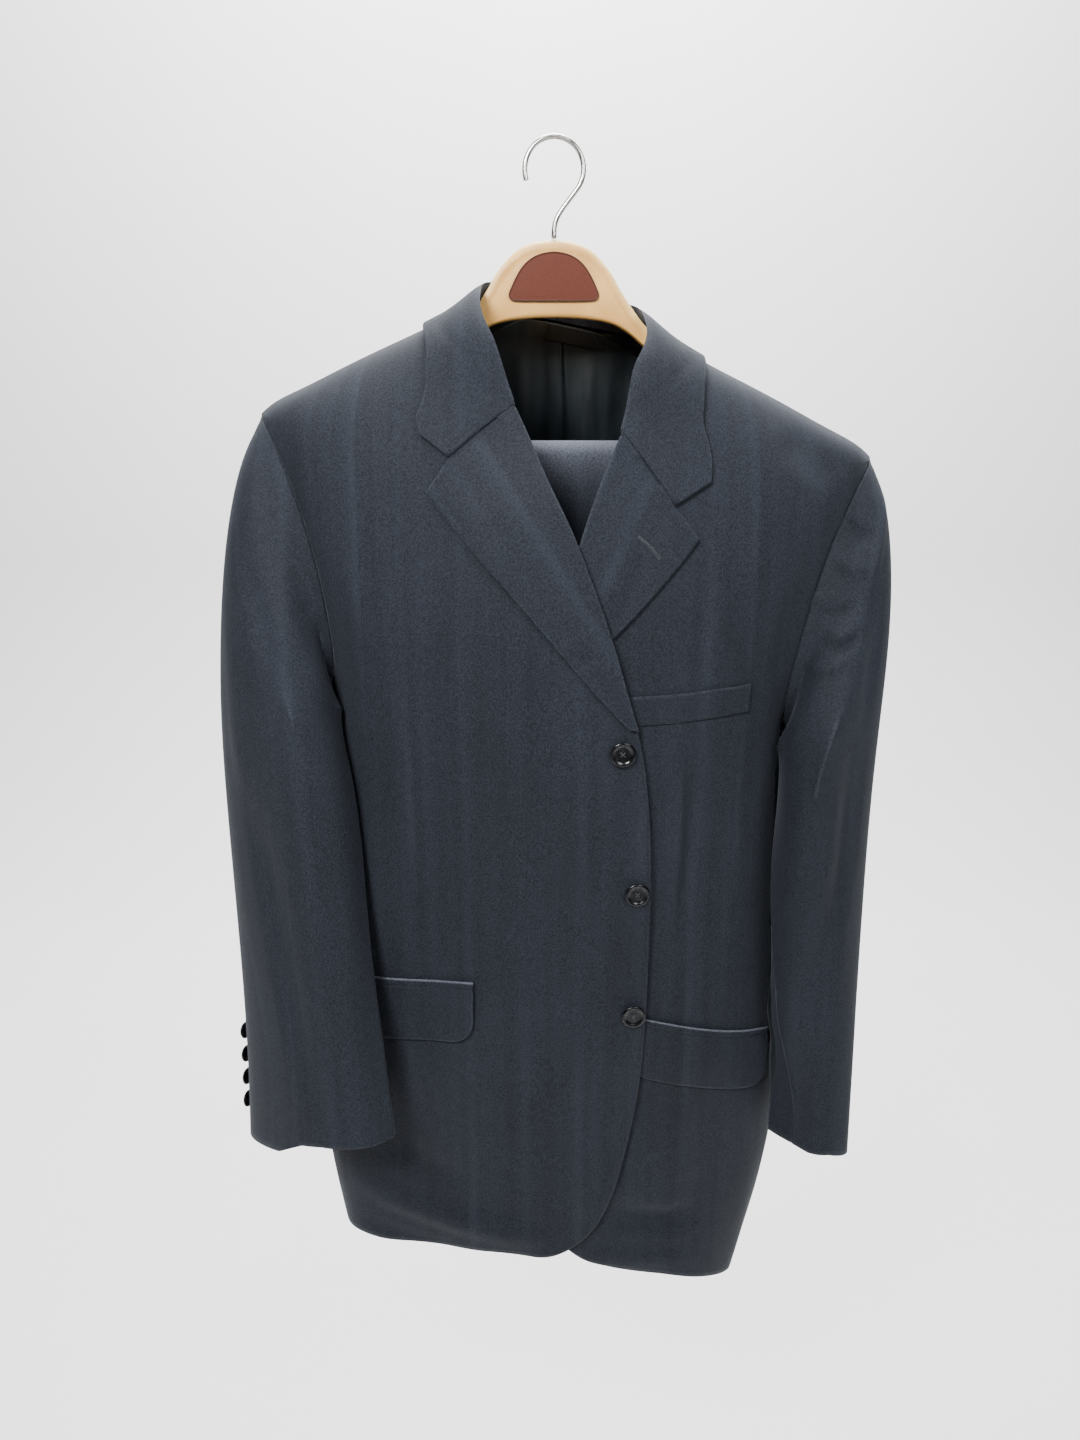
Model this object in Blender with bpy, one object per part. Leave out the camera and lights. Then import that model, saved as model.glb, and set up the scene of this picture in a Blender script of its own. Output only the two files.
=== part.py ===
"""A three-button suit jacket with its trousers, on a moulded hanger.

Metres, +Z up. The origin is the inside top of the hanger's hook, where a rail carries it. The
jacket's front faces -Y and the wearer's left is at +X.

The jacket is worked out on a level, centred form: a stack of rounded rings, read by an angle
(0 at the centre front, 90 at the wearer's left side, 180 at the centre back, negative on the
right) and a height. Every panel is a stretch of that form between two edges, moved out by its
lift. The finished points are then hung: shifted and tilted as the jacket sits on its hanger.
"""

import math

import bmesh
import bpy
from mathutils import Vector

MM = 0.001

# Cloth
WALL = 2.0 * MM
LINING_WALL = 1.0 * MM
LINING_GAP = 2.8 * MM
SEAM_GAP = 0.35 * MM
LAY_GAP = 0.6 * MM
BUTTON_GAP = 0.35 * MM
COLLAR_LIFT = 2.2 * MM
LAPEL_LIFT = 1.2 * MM

# Jacket, on its level form
HEM_FRONT_Z = -0.916
HEM_DROP_RIGHT, HEM_DROP_LEFT, HEM_DROP_BACK = 0.022, 0.048, 0.026
OVERLAP_LIFT = 6.4 * MM
OVERLAP_FROM_X, OVERLAP_FULL_X = -0.105, -0.055
OVERLAP_TOP_Z, OVERLAP_RISE = -0.212, 0.075
EDGE_SHARE, ROLL_SHARE = 0.50, 0.25
STAND_GAP = 2.0 * MM
SHOULDER_GAP = 0.25 * MM
BACK_CENTRE_SHARE = 0.86
SIDE_SEAM_FRONT, SIDE_SEAM_BACK = 60.0, 118.0
ARMHOLE_TOP_Z, ARMHOLE_BOTTOM_Z = -0.213, -0.435
ARMHOLE_REACH = 33.0
ARMHOLE_FULLNESS = 3.0
ARMHOLE_JOIN = 0.80
SIDE_SHARE = 0.60

# The rings of the body: height, half width, depth to the front and to the back, squareness
BODY_COLUMNS = ("z", "half", "front", "back", "square")
BODY = (
    (-1.000, 0.180, 0.118, 0.108, 3.8),
    (-0.930, 0.194, 0.118, 0.110, 3.6),
    (-0.880, 0.206, 0.116, 0.111, 3.2),
    (-0.820, 0.216, 0.114, 0.112, 2.9),
    (-0.740, 0.218, 0.113, 0.111, 2.6),
    (-0.650, 0.208, 0.112, 0.108, 2.6),
    (-0.540, 0.197, 0.109, 0.101, 2.6),
    (-0.430, 0.191, 0.113, 0.108, 2.6),
    (-0.350, 0.208, 0.111, 0.106, 2.5),
    (-0.280, 0.228, 0.100, 0.100, 2.4),
    (-0.235, 0.241, 0.088, 0.090, 2.3),
    (-0.213, 0.243, 0.080, 0.082, 2.2),
    (-0.188, 0.200, 0.073, 0.077, 2.2),
    (-0.163, 0.150, 0.069, 0.074, 2.2),
    (-0.1415, 0.104, 0.067, 0.073, 2.2),
    (-0.128, 0.080, 0.066, 0.073, 2.2),
    (-0.110, 0.060, 0.064, 0.072, 2.2),
    (-0.095, 0.056, 0.062, 0.071, 2.2),
)

# How the jacket's middle wanders to the side as it hangs
HANG_COLUMNS = ("z", "shift")
HANG = (
    (-1.000, -0.0100),
    (-0.800, -0.0030),
    (-0.500, 0.0035),
    (-0.260, 0.0100),
    (-0.205, 0.0115),
    (-0.150, 0.0085),
    (-0.100, 0.0055),
)
TILT, TILT_LEFT_SHOULDER = 0.046, 0.026
TILT_TOP_Z, TILT_FULL_Z = -0.260, -0.420
NECK_TILT, NECK_TILT_REACH = 0.0080, 0.050

# Soft folds in the hanging cloth: angle at the top and bottom, heights, half width and depth
FOLD_COLUMNS = ("top_angle", "bottom_angle", "top", "bottom", "half_angle", "depth")
FOLDS = (
    (-34.0, -30.0, -0.560, -0.900, 13.0, -0.0035),
    (-58.0, -52.0, -0.640, -0.960, 9.0, 0.0040),
    (38.0, 30.0, -0.700, -0.960, 10.0, -0.0050),
    (56.0, 52.0, -0.620, -0.980, 9.0, 0.0045),
    (138.0, 132.0, -0.560, -0.960, 11.0, 0.0050),
    (-140.0, -134.0, -0.600, -0.960, 12.0, 0.0045),
    (158.0, 156.0, -0.640, -0.960, 9.0, -0.0040),
    (-160.0, -157.0, -0.580, -0.960, 10.0, -0.0035),
)

# Front edges, from the hem up: distance from the centre, towards the wearer's left, and height
FRONT_EDGE_RIGHT = (
    (0.0080, -0.9170),
    (0.0300, -0.9060),
    (0.0465, -0.8790),
    (0.0580, -0.8420),
    (0.0670, -0.7970),
    (0.0740, -0.7400),
    (0.0765, -0.6800),
    (0.0760, -0.6000),
    (0.0740, -0.5200),
    (0.0680, -0.4600),
    (0.0605, -0.4200),
)
ROLL_RIGHT = (
    (0.0605, -0.4200),
    (0.0510, -0.3930),
    (0.0360, -0.3480),
    (0.0175, -0.3040),
    (0.0000, -0.2670),
    (-0.0140, -0.2450),
    (-0.0295, -0.2130),
    (-0.0400, -0.1930),
)
FRONT_EDGE_LEFT = (
    (0.0300, -0.9180),
    (0.0080, -0.9070),
    (-0.0085, -0.8800),
    (-0.0200, -0.8430),
    (-0.0290, -0.7980),
    (-0.0360, -0.7400),
    (-0.0385, -0.6800),
    (-0.0380, -0.6000),
    (-0.0370, -0.5200),
    (-0.0350, -0.4600),
    (-0.0320, -0.4200),
)
ROLL_LEFT = (
    (-0.0320, -0.4200),
    (-0.0200, -0.3800),
    (-0.0070, -0.3380),
    (0.0090, -0.2810),
    (0.0185, -0.2480),
    (0.0290, -0.2190),
    (0.0370, -0.1990),
)
LAPEL_EDGE_RIGHT = (
    (0.0590, -0.4175),
    (0.0290, -0.3910),
    (-0.0020, -0.3610),
    (-0.0320, -0.3325),
    (-0.0620, -0.3035),
    (-0.0905, -0.2740),
    (-0.1030, -0.2590),
)
LAPEL_EDGE_LEFT = (
    (-0.0300, -0.4175),
    (-0.0080, -0.3920),
    (0.0150, -0.3670),
    (0.0375, -0.3420),
    (0.0640, -0.3110),
    (0.0880, -0.2815),
    (0.0960, -0.2700),
)
NOTCH_RIGHT, NOTCH_LEFT = (-0.0868, -0.2340), (0.0770, -0.2470)
CORNER_RIGHT, CORNER_LEFT = (-0.1090, -0.2200), (0.1025, -0.2300)

# Collar on the chest, from the gorge up: the roll line, the stand's seam and the fall's edge
COLLAR_CHEST_COLUMNS = ("roll_x", "roll_z", "seam_x", "seam_z", "edge_x", "edge_z")
COLLAR_CHEST_RIGHT = (
    (-0.0400, -0.1930, -0.0440, -0.1965, -0.1090, -0.2200),
    (-0.0475, -0.1680, -0.0560, -0.1800, -0.1060, -0.1960),
    (-0.0530, -0.1500, -0.0700, -0.1650, -0.1030, -0.1750),
)
COLLAR_CHEST_LEFT = (
    (0.0370, -0.1990, 0.0410, -0.2025, 0.1030, -0.2300),
    (0.0445, -0.1720, 0.0540, -0.1840, 0.1005, -0.2020),
    (0.0500, -0.1520, 0.0690, -0.1665, 0.0985, -0.1780),
)

# Collar round the neck, by angle: the roll line, the seam of the stand and the edge of the fall
COLLAR_COLUMNS = ("angle", "roll", "seam", "edge")
COLLAR_SIDE = (
    (44.0, -0.1320, -0.1500, -0.1590),
    (65.0, -0.1180, -0.1390, -0.1460),
    (90.0, -0.1095, -0.1320, -0.1415),
    (115.0, -0.1050, -0.1270, -0.1440),
    (148.0, -0.1010, -0.1230, -0.1500),
    (180.0, -0.1000, -0.1220, -0.1520),
)

# Pockets: inner end, outer end, height of the inner end, fall per metre outward, depth of the piece
POCKET_COLUMNS = ("inner", "outer", "z", "slope", "deep")
FLAP_RIGHT = (0.0650, 0.1880, -0.6540, 0.17, 0.0510)
FLAP_LEFT = (0.0640, 0.1900, -0.6685, 0.26, 0.0510)
JET_RISE, JET_DEEP = 6.2 * MM, 5.6 * MM
JET_LIFT, JET_THICK = 1.9 * MM, 1.1 * MM
WELT_LIFT, WELT_THICK = 2.1 * MM, 1.4 * MM
FLAP_CORNER, FLAP_BULGE = 14.0 * MM, 0.6 * MM
WELT = (0.0470, 0.1450, -0.3875, -0.115, 0.0225)

# Back lining and the bare label on it
LINING_TOP_GAP, LINING_BOTTOM_Z, LINING_SCOOP = 2.0 * MM, -0.360, 0.075
LABEL_TOP_Z, LABEL_DEEP, LABEL_HALF_ANGLE = -0.1250, 0.0140, 15.0
LABEL_ANGLE = 174.0
LABEL_WALL, LABEL_GAP = 0.6 * MM, 0.8 * MM

# Buttons
BUTTON_FRONT_RADIUS, BUTTON_CUFF_RADIUS = 10.0 * MM, 7.5 * MM
BUTTON_THICK = 3.2 * MM
BUTTONS_FRONT = ((0.0465, -0.4300), (0.0640, -0.5490), (0.0660, -0.6590))
CUFF_BUTTONS = 4
CUFF_BUTTON_FIRST, CUFF_BUTTON_STEP = 0.965, 0.0285
CUFF_BUTTON_TURN = {"right": 8.0, "left": -4.0}
CUFF_BUTTON_LIFT = 2.7 * MM

# Sleeves: rings from the armhole to the cuff, by their edge near the body and their outer edge
SLEEVE_COLUMNS = ("in_x", "in_y", "in_z", "out_x", "out_y", "out_z", "deep")
SLEEVE_RIGHT = (
    (0.2080, -0.002, -0.4260, 0.2520, 0.000, -0.2170, 0.0660),
    (0.2060, -0.006, -0.4300, 0.2610, -0.002, -0.2420, 0.0680),
    (0.2010, -0.014, -0.4360, 0.2660, -0.004, -0.2860, 0.0680),
    (0.1950, -0.026, -0.4440, 0.2690, -0.008, -0.3440, 0.0650),
    (0.1880, -0.042, -0.4620, 0.2720, -0.014, -0.4120, 0.0600),
    (0.1790, -0.066, -0.5000, 0.2730, -0.020, -0.4860, 0.0520),
    (0.1620, -0.094, -0.5800, 0.2720, -0.030, -0.5740, 0.0420),
    (0.1470, -0.126, -0.6660, 0.2680, -0.046, -0.6600, 0.0350),
    (0.1370, -0.146, -0.7300, 0.2640, -0.064, -0.7450, 0.0310),
    (0.1310, -0.156, -0.7680, 0.2620, -0.080, -0.8260, 0.0290),
)
SLEEVE_LEFT = (
    (0.2080, -0.002, -0.4260, 0.2540, 0.000, -0.2130, 0.0660),
    (0.2070, -0.006, -0.4300, 0.2620, -0.002, -0.2380, 0.0680),
    (0.2050, -0.012, -0.4360, 0.2620, -0.004, -0.2840, 0.0680),
    (0.2020, -0.020, -0.4440, 0.2590, -0.008, -0.3440, 0.0670),
    (0.1980, -0.030, -0.4600, 0.2540, -0.014, -0.4120, 0.0640),
    (0.1960, -0.044, -0.4960, 0.2480, -0.020, -0.4860, 0.0600),
    (0.1950, -0.068, -0.5700, 0.2430, -0.034, -0.5700, 0.0530),
    (0.1980, -0.092, -0.6560, 0.2370, -0.052, -0.6560, 0.0490),
    (0.2030, -0.106, -0.7200, 0.2345, -0.066, -0.7240, 0.0460),
    (0.2060, -0.114, -0.7800, 0.2335, -0.074, -0.7960, 0.0440),
)
SEAM_FRONT_HEAD, SEAM_FRONT_CUFF = 152.0, 186.0
SEAM_BACK_HEAD, SEAM_BACK_CUFF = -116.0, -22.0
SLEEVE_SQUARE = 2.2
SLEEVE_CLEAR = 7.5 * MM
# How far a sleeve's front edge laps inward and ahead over the body, and where that ends
LAP_IN, LAP_AHEAD = 30.0 * MM, 34.0 * MM
LAP_START, LAP_FULL = 0.02, 0.20
LAP_END = {1: 0.88, -1: 0.74}
LAP_TURNS = (66.0, 118.0, 158.0, 214.0)
HEAD_SHARE = 0.34
ARMHOLE_GAP = 1.0 * MM
SEAM_TURN = 0.35

# Hanger, level: half width along the rail, top and bottom edges, half depth
HANGER_COLUMNS = ("x", "top", "bottom", "deep")
HANGER = (
    (0.000, -0.0676, -0.1230, 0.0065),
    (0.012, -0.0683, -0.1232, 0.0065),
    (0.024, -0.0715, -0.1240, 0.0065),
    (0.033, -0.0785, -0.1250, 0.0066),
    (0.040, -0.0860, -0.1263, 0.0067),
    (0.0455, -0.0930, -0.1280, 0.0070),
    (0.0495, -0.1010, -0.1295, 0.0073),
    (0.0560, -0.1100, -0.1330, 0.0078),
    (0.0640, -0.1214, -0.1390, 0.0085),
    (0.0740, -0.1320, -0.1480, 0.0095),
    (0.0850, -0.1405, -0.1570, 0.0105),
    (0.1000, -0.1500, -0.1690, 0.0125),
    (0.1300, -0.1660, -0.1900, 0.0170),
    (0.1680, -0.1855, -0.2140, 0.0225),
    (0.1685, -0.1858, -0.2400, 0.0225),
    (0.1900, -0.1970, -0.2440, 0.0260),
    (0.2030, -0.2060, -0.2420, 0.0250),
    (0.2090, -0.2160, -0.2340, 0.0190),
)
HANGER_SQUARE = 5.0
BAR_Z, BAR_RADIUS, BAR_HALF = -0.2290, 5.5 * MM, 0.1678
HOOK_RADIUS, HOOK_WIRE = 0.0220, 2.1 * MM
HOOK_START, HOOK_END = -38.0, 200.0
PANEL_CORNERS = ((-0.0375, -0.1115), (0.0375, -0.1115), (0.0200, -0.0765), (-0.0200, -0.0765))
PANEL_ROUNDING = (0.0095, 0.0095, 0.0198, 0.0198)
PANEL_THICK, PANEL_GAP = 0.6 * MM, 0.3 * MM

# Trousers: legs folded over the bar, half width at each distance from the fold
LEG_THICK, LEG_GAP, LEG_ROUND = 4.4 * MM, 0.4 * MM, 0.7 * MM
LEG_RIGHT_FRONT, LEG_LEFT_FRONT, LEG_RISE = 0.530, 0.536, 0.480
LEG_COLUMNS = ("along", "middle", "half")
LEG_FRONT = (
    (0.000, 0.008, 0.1230),
    (0.100, 0.008, 0.1200),
    (0.300, 0.008, 0.1130),
    (0.540, 0.008, 0.1070),
)
LEG_BACK = (
    (0.000, 0.008, 0.1230),
    (0.120, 0.006, 0.1330),
    (0.240, 0.000, 0.1580),
    (0.300, -0.004, 0.1700),
    (0.360, 0.000, 0.1600),
    (0.480, 0.006, 0.1330),
)
WAISTBAND_DEEP, WAISTBAND_PROUD, WAISTBAND_CORNER = 0.038, 1.0 * MM, 2.0 * MM


def read(table, columns, name, at, key=None):
    """A named column of a table at a place between its rows, on a curve that never overshoots."""
    key = columns.index(key or columns[0])
    col = columns.index(name)
    rows = sorted(table, key=lambda row: row[key])
    xs = [row[key] for row in rows]
    ys = [row[col] for row in rows]
    if at <= xs[0]:
        return ys[0]
    if at >= xs[-1]:
        return ys[-1]
    steps = [(ys[i + 1] - ys[i]) / (xs[i + 1] - xs[i]) for i in range(len(xs) - 1)]
    i = max(k for k in range(len(steps)) if xs[k] <= at)

    def tangent(k):
        if k == 0:
            return steps[0]
        if k == len(steps):
            return steps[-1]
        low, high = steps[k - 1], steps[k]
        return 0.0 if low * high <= 0 else 2 * low * high / (low + high)

    span = xs[i + 1] - xs[i]
    t = (at - xs[i]) / span
    start, end = tangent(i) * span, tangent(i + 1) * span
    return (
        (2 * t**3 - 3 * t**2 + 1) * ys[i]
        + (t**3 - 2 * t**2 + t) * start
        + (3 * t**2 - 2 * t**3) * ys[i + 1]
        + (t**3 - t**2) * end
    )


def smooth(t):
    """0 to 1 with level ends."""
    t = min(1.0, max(0.0, t))
    return t * t * (3 - 2 * t)


def mix(a, b, t):
    """The value a share t of the way from a to b, also for a pair of numbers."""
    if isinstance(a, tuple):
        return tuple(mix(p, q, t) for p, q in zip(a, b))
    return a + (b - a) * t


def along(points, t):
    """The point a share t of the way along a smooth curve through short rows of numbers."""
    lengths = [0.0]
    for a, b in zip(points, points[1:]):
        lengths.append(lengths[-1] + math.dist(a, b))
    rows = [(s, *p) for s, p in zip(lengths, points)]
    columns = ("s",) + tuple(str(k) for k in range(len(points[0])))
    return tuple(read(rows, columns, c, t * lengths[-1]) for c in columns[1:])


def fold_depth(angle, z):
    """How far the soft folds move the form in or out."""
    total = 0.0
    for row in FOLDS:
        fold = dict(zip(FOLD_COLUMNS, row))
        down = (fold["top"] - z) / (fold["top"] - fold["bottom"])
        if down <= 0:
            continue
        middle = mix(fold["top_angle"], fold["bottom_angle"], min(1.0, down))
        away = (angle - middle) / fold["half_angle"]
        if abs(away) < 1:
            total += fold["depth"] * smooth(down * 1.4) * math.cos(math.pi * away / 2) ** 2
    return total


def ring(angle, z):
    """The form's point at an angle and a height, before it is hung."""
    half = read(BODY, BODY_COLUMNS, "half", z)
    turn = math.radians(angle)
    side, ahead = abs(math.sin(turn)), abs(math.cos(turn))
    square = read(BODY, BODY_COLUMNS, "square", z)
    reach = (side**square + ahead**square) ** (-1 / square)
    depth = read(BODY, BODY_COLUMNS, "front" if math.cos(turn) > 0 else "back", z)
    grow = 1 + fold_depth(angle, z) / (depth * ahead + half * side)
    y = depth * reach * ahead * grow
    x = half * reach * side * grow
    return Vector((math.copysign(x, math.sin(turn)), -y if math.cos(turn) > 0 else y, z))


def angle_at(x, z):
    """The angle of the form's front at a distance from the centre."""
    half = read(BODY, BODY_COLUMNS, "half", z)
    square = read(BODY, BODY_COLUMNS, "square", z)
    share = min(0.999, abs(x) / half)
    ahead = (1 - share**square) ** (1 / square)
    return math.copysign(math.degrees(math.atan2(share, ahead)), x)


def outward(angle, z):
    """The direction straight out of the form."""
    across = ring(angle + 0.6, z) - ring(angle - 0.6, z)
    up = ring(angle, z + 0.6 * MM) - ring(angle, z - 0.6 * MM)
    return across.cross(up).normalized()


def on_form(angle, z, lift=0.0):
    """A point on the form, moved out by its lift, and the direction that it was moved."""
    away = outward(angle, z)
    return ring(angle, z) + away * lift, away


def hang(point):
    """A point of the level form, as the jacket hangs: shifted to the side and tilted."""
    x = point.x + read(HANG, HANG_COLUMNS, "shift", point.z)
    low = smooth((TILT_TOP_Z - point.z) / (TILT_TOP_Z - TILT_FULL_Z))
    slope = TILT if point.x < 0 else mix(TILT_LEFT_SHOULDER, TILT, low)
    fall = slope * point.x + NECK_TILT * math.tanh(point.x / NECK_TILT_REACH)
    return Vector((x, point.y, point.z - fall))


def material(name, colour, roughness, metallic=0.0):
    """A finish, made once."""
    found = bpy.data.materials.get(name)
    if found:
        return found
    made = bpy.data.materials.new(name)
    made.use_nodes = True
    shader = made.node_tree.nodes["Principled BSDF"]
    shader.inputs["Base Color"].default_value = (*colour, 1.0)
    shader.inputs["Roughness"].default_value = roughness
    shader.inputs["Metallic"].default_value = metallic
    made.diffuse_color = (*colour, 1.0)
    return made


FINISHES = {
    "cloth": ((0.032, 0.042, 0.062), 0.85, 0.0),
    "lining": ((0.008, 0.011, 0.014), 0.45, 0.0),
    "label": ((0.010, 0.010, 0.012), 0.60, 0.0),
    "button": ((0.012, 0.013, 0.016), 0.30, 0.0),
    "moulding": ((0.640, 0.430, 0.220), 0.45, 0.0),
    "inset": ((0.190, 0.050, 0.020), 0.50, 0.0),
    "wire": ((0.620, 0.620, 0.600), 0.25, 1.0),
}


def add_piece(name, mesh, finish, flat=False):
    """A named object from a finished bmesh, its faces turned outward."""
    bmesh.ops.recalc_face_normals(mesh, faces=mesh.faces)
    if mesh.calc_volume(signed=True) < 0:
        bmesh.ops.reverse_faces(mesh, faces=mesh.faces)
    data = bpy.data.meshes.new(name)
    mesh.to_mesh(data)
    mesh.free()
    data.materials.append(material(finish, *FINISHES[finish]))
    if not flat:
        data.shade_smooth()
        data.set_sharp_from_angle(angle=math.radians(40))
    piece = bpy.data.objects.new(name, data)
    bpy.context.scene.collection.objects.link(piece)
    return piece


def shell(name, outer, inner, finish):
    """A closed sheet between two grids of points, its outer side and its inner side."""
    mesh = bmesh.new()
    outer = [[mesh.verts.new(hang(p)) for p in row] for row in outer]
    inner = [[mesh.verts.new(hang(p)) for p in row] for row in inner]
    rows, columns = len(outer), len(outer[0])
    for side in (outer, inner):
        for i in range(rows - 1):
            for j in range(columns - 1):
                quad = (side[i][j], side[i][j + 1], side[i + 1][j + 1], side[i + 1][j])
                mesh.faces.new(quad)
    rim = [(0, j) for j in range(columns)]
    rim += [(i, columns - 1) for i in range(1, rows)]
    rim += [(rows - 1, j) for j in range(columns - 2, -1, -1)]
    rim += [(i, 0) for i in range(rows - 2, 0, -1)]
    for (i, j), (k, m) in zip(rim, rim[1:] + rim[:1]):
        mesh.faces.new((outer[i][j], inner[i][j], inner[k][m], outer[k][m]))
    return add_piece(name, mesh, finish)


def wall(name, grid, finish, thick=WALL):
    """A sheet of cloth from a grid of (point, outward direction), thickened inward."""
    outer = [[p for p, _ in row] for row in grid]
    inner = [[p - away * thick for p, away in row] for row in grid]
    return shell(name, outer, inner, finish)


def loft(name, sections, finish):
    """A closed solid through rings of the same number of points."""
    mesh = bmesh.new()
    rings = [[mesh.verts.new(Vector(p)) for p in section] for section in sections]
    count = len(rings[0])
    for low, high in zip(rings, rings[1:]):
        for i in range(count):
            k = (i + 1) % count
            mesh.faces.new((low[i], low[k], high[k], high[i]))
    mesh.faces.new(rings[0])
    mesh.faces.new(rings[-1])
    return add_piece(name, mesh, finish)


def armhole_angle(z, back=False):
    """The armhole's angle at a height, in front of the side or behind it."""
    t = (z - ARMHOLE_TOP_Z) / (ARMHOLE_BOTTOM_Z - ARMHOLE_TOP_Z)
    t = min(1.0, max(0.0, t))
    swell = (1 - abs(2 * t - 1) ** ARMHOLE_FULLNESS) ** (1 / ARMHOLE_FULLNESS)
    return 90 + ARMHOLE_REACH * swell * (1 if back else -1)


def armhole_z(t):
    """A height down the armhole, close together at its two ends."""
    return mix(ARMHOLE_TOP_Z, ARMHOLE_BOTTOM_Z, (1 - math.cos(math.pi * t)) / 2)


def neck_seam(angle):
    """Height of the stand's seam round the neck."""
    return read(COLLAR_SIDE, COLLAR_COLUMNS, "seam", angle)


def hem_z(angle, left):
    """Height of the jacket's hem: lowest at the side, and lower on the wearer's left."""
    drop = HEM_DROP_LEFT if left else HEM_DROP_RIGHT
    side = smooth(abs(angle) / 75)
    behind = smooth((abs(angle) - 80) / 60)
    return HEM_FRONT_Z - drop * side + (drop - HEM_DROP_BACK) * behind


def front_lift(left, x, z):
    """How far a front stands off the form: the right one rises where it lies over the left."""
    if left:
        return 0.0
    across = smooth((x - OVERLAP_FROM_X) / (OVERLAP_FULL_X - OVERLAP_FROM_X))
    return OVERLAP_LIFT * across * smooth((OVERLAP_TOP_Z - z) / OVERLAP_RISE)


def front_surface(left, x, z, lift):
    """A point that lies on a front, lifted off it."""
    return on_form(angle_at(x, z), z, front_lift(left, x, z) + lift)


def inner_edge(left, t):
    """Angle and height along a front's inner edge: front edge, roll line, seam of the collar."""
    edge = FRONT_EDGE_LEFT if left else FRONT_EDGE_RIGHT
    roll = ROLL_LEFT if left else ROLL_RIGHT
    if t < EDGE_SHARE:
        x, z = along(edge, t / EDGE_SHARE)
        return angle_at(x, z), z
    if t < EDGE_SHARE + ROLL_SHARE:
        x, z = along(roll, (t - EDGE_SHARE) / ROLL_SHARE)
        return angle_at(x, z), z
    seams = collar_rows(left)[1]
    side = next(k for k, row in enumerate(seams) if row[0] == 90)
    share = (t - EDGE_SHARE - ROLL_SHARE) / (1 - EDGE_SHARE - ROLL_SHARE)
    angle, z = between(seams, share * side / (len(seams) - 1))
    return (angle if left else -angle), z - STAND_GAP


def outer_edge(t, left, back=False):
    """Angle and height along the side seam and up the armhole to the shoulder tip."""
    seam = SIDE_SEAM_BACK if back else SIDE_SEAM_FRONT
    top = armhole_z(ARMHOLE_JOIN)
    join = armhole_angle(top, back)
    if t < SIDE_SHARE:
        share = t / SIDE_SHARE
        z = mix(hem_z(seam, left), top, share)
        return mix(seam, join, smooth(share * 1.4 - 0.4)), z
    share = (t - SIDE_SHARE) / (1 - SIDE_SHARE)
    z = armhole_z(ARMHOLE_JOIN * (1 - share))
    return armhole_angle(z, back), z


def seam_nudge(gap, angle, z):
    """A gap along the form as an angle."""
    place = ring(angle, z)
    return math.degrees(gap / max(0.02, math.hypot(place.x, place.y)))


def front_panel(left, rows=21, columns=10):
    """A front, from its free edge and roll line to the side seam, the armhole and the shoulder."""
    sign = 1 if left else -1
    corner, seam = inner_edge(left, 0)[1], hem_z(SIDE_SEAM_FRONT, left)
    grid = []
    for i in range(rows):
        t = i / (rows - 1)
        start = inner_edge(left, t)
        angle, z = outer_edge(t, left)
        angle -= seam_nudge(SEAM_GAP / 2, angle, z)
        end = (sign * angle, z)
        line = []
        for j in range(columns):
            u = j / (columns - 1)
            at, height = mix(start, end, u)
            if u > 0:
                sag = hem_z(at, left) - mix(corner, seam, u)
                height += sag * (1 - smooth(t * 5))
            x = ring(at, height).x
            point, away = on_form(at, height, front_lift(left, x, height))
            if t == 1:
                point.y -= SHOULDER_GAP
            line.append((point, away))
        grid.append(line)
    side = "left" if left else "right"
    return wall(f"front_{side}", grid, "cloth")


def back_panel(left, rows=21, columns=8):
    """A back, from the centre seam to the side seam, the armhole and the shoulder."""
    sign = 1 if left else -1
    grid = []
    for i in range(rows):
        t = i / (rows - 1)
        angle, z = outer_edge(t, left, back=True)
        end = (angle + seam_nudge(SEAM_GAP / 2, angle, z), z)
        if t < BACK_CENTRE_SHARE:
            z = mix(hem_z(180, left), neck_seam(180) - STAND_GAP, t / BACK_CENTRE_SHARE)
            start = (180 - seam_nudge(SEAM_GAP / 2, 180, z), z)
        else:
            angle = mix(179.8, 90, (t - BACK_CENTRE_SHARE) / (1 - BACK_CENTRE_SHARE))
            start = (angle, neck_seam(angle) - STAND_GAP)
        line = []
        for j in range(columns):
            at, height = mix(start, end, j / (columns - 1))
            point, away = on_form(sign * at, height)
            if t == 1:
                point.y += SHOULDER_GAP
            line.append((point, away))
        grid.append(line)
    side = "left" if left else "right"
    return wall(f"back_{side}", grid, "cloth")


def side_panel(left, rows=13, columns=7):
    """A side body, from the hem to the bottom of the armhole."""
    sign = 1 if left else -1
    grid = []
    for i in range(rows):
        t = i / (rows - 1)
        front = outer_edge(SIDE_SHARE * t, left)
        back = outer_edge(SIDE_SHARE * t, left, back=True)
        start = front[0] + seam_nudge(SEAM_GAP / 2, *front)
        end = back[0] - seam_nudge(SEAM_GAP / 2, *back)
        line = []
        for j in range(columns):
            u = j / (columns - 1)
            angle = mix(start, end, u)
            roof = armhole_z(mix(1.0, ARMHOLE_JOIN, abs(2 * u - 1)))
            z = mix(hem_z(angle, left), roof, t)
            if t == 1 and 0 < u < 1:
                angle = armhole_angle(roof, u > 0.5)
            line.append(on_form(sign * angle, z))
        grid.append(line)
    side = "left" if left else "right"
    return wall(f"side_{side}", grid, "cloth")


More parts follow.
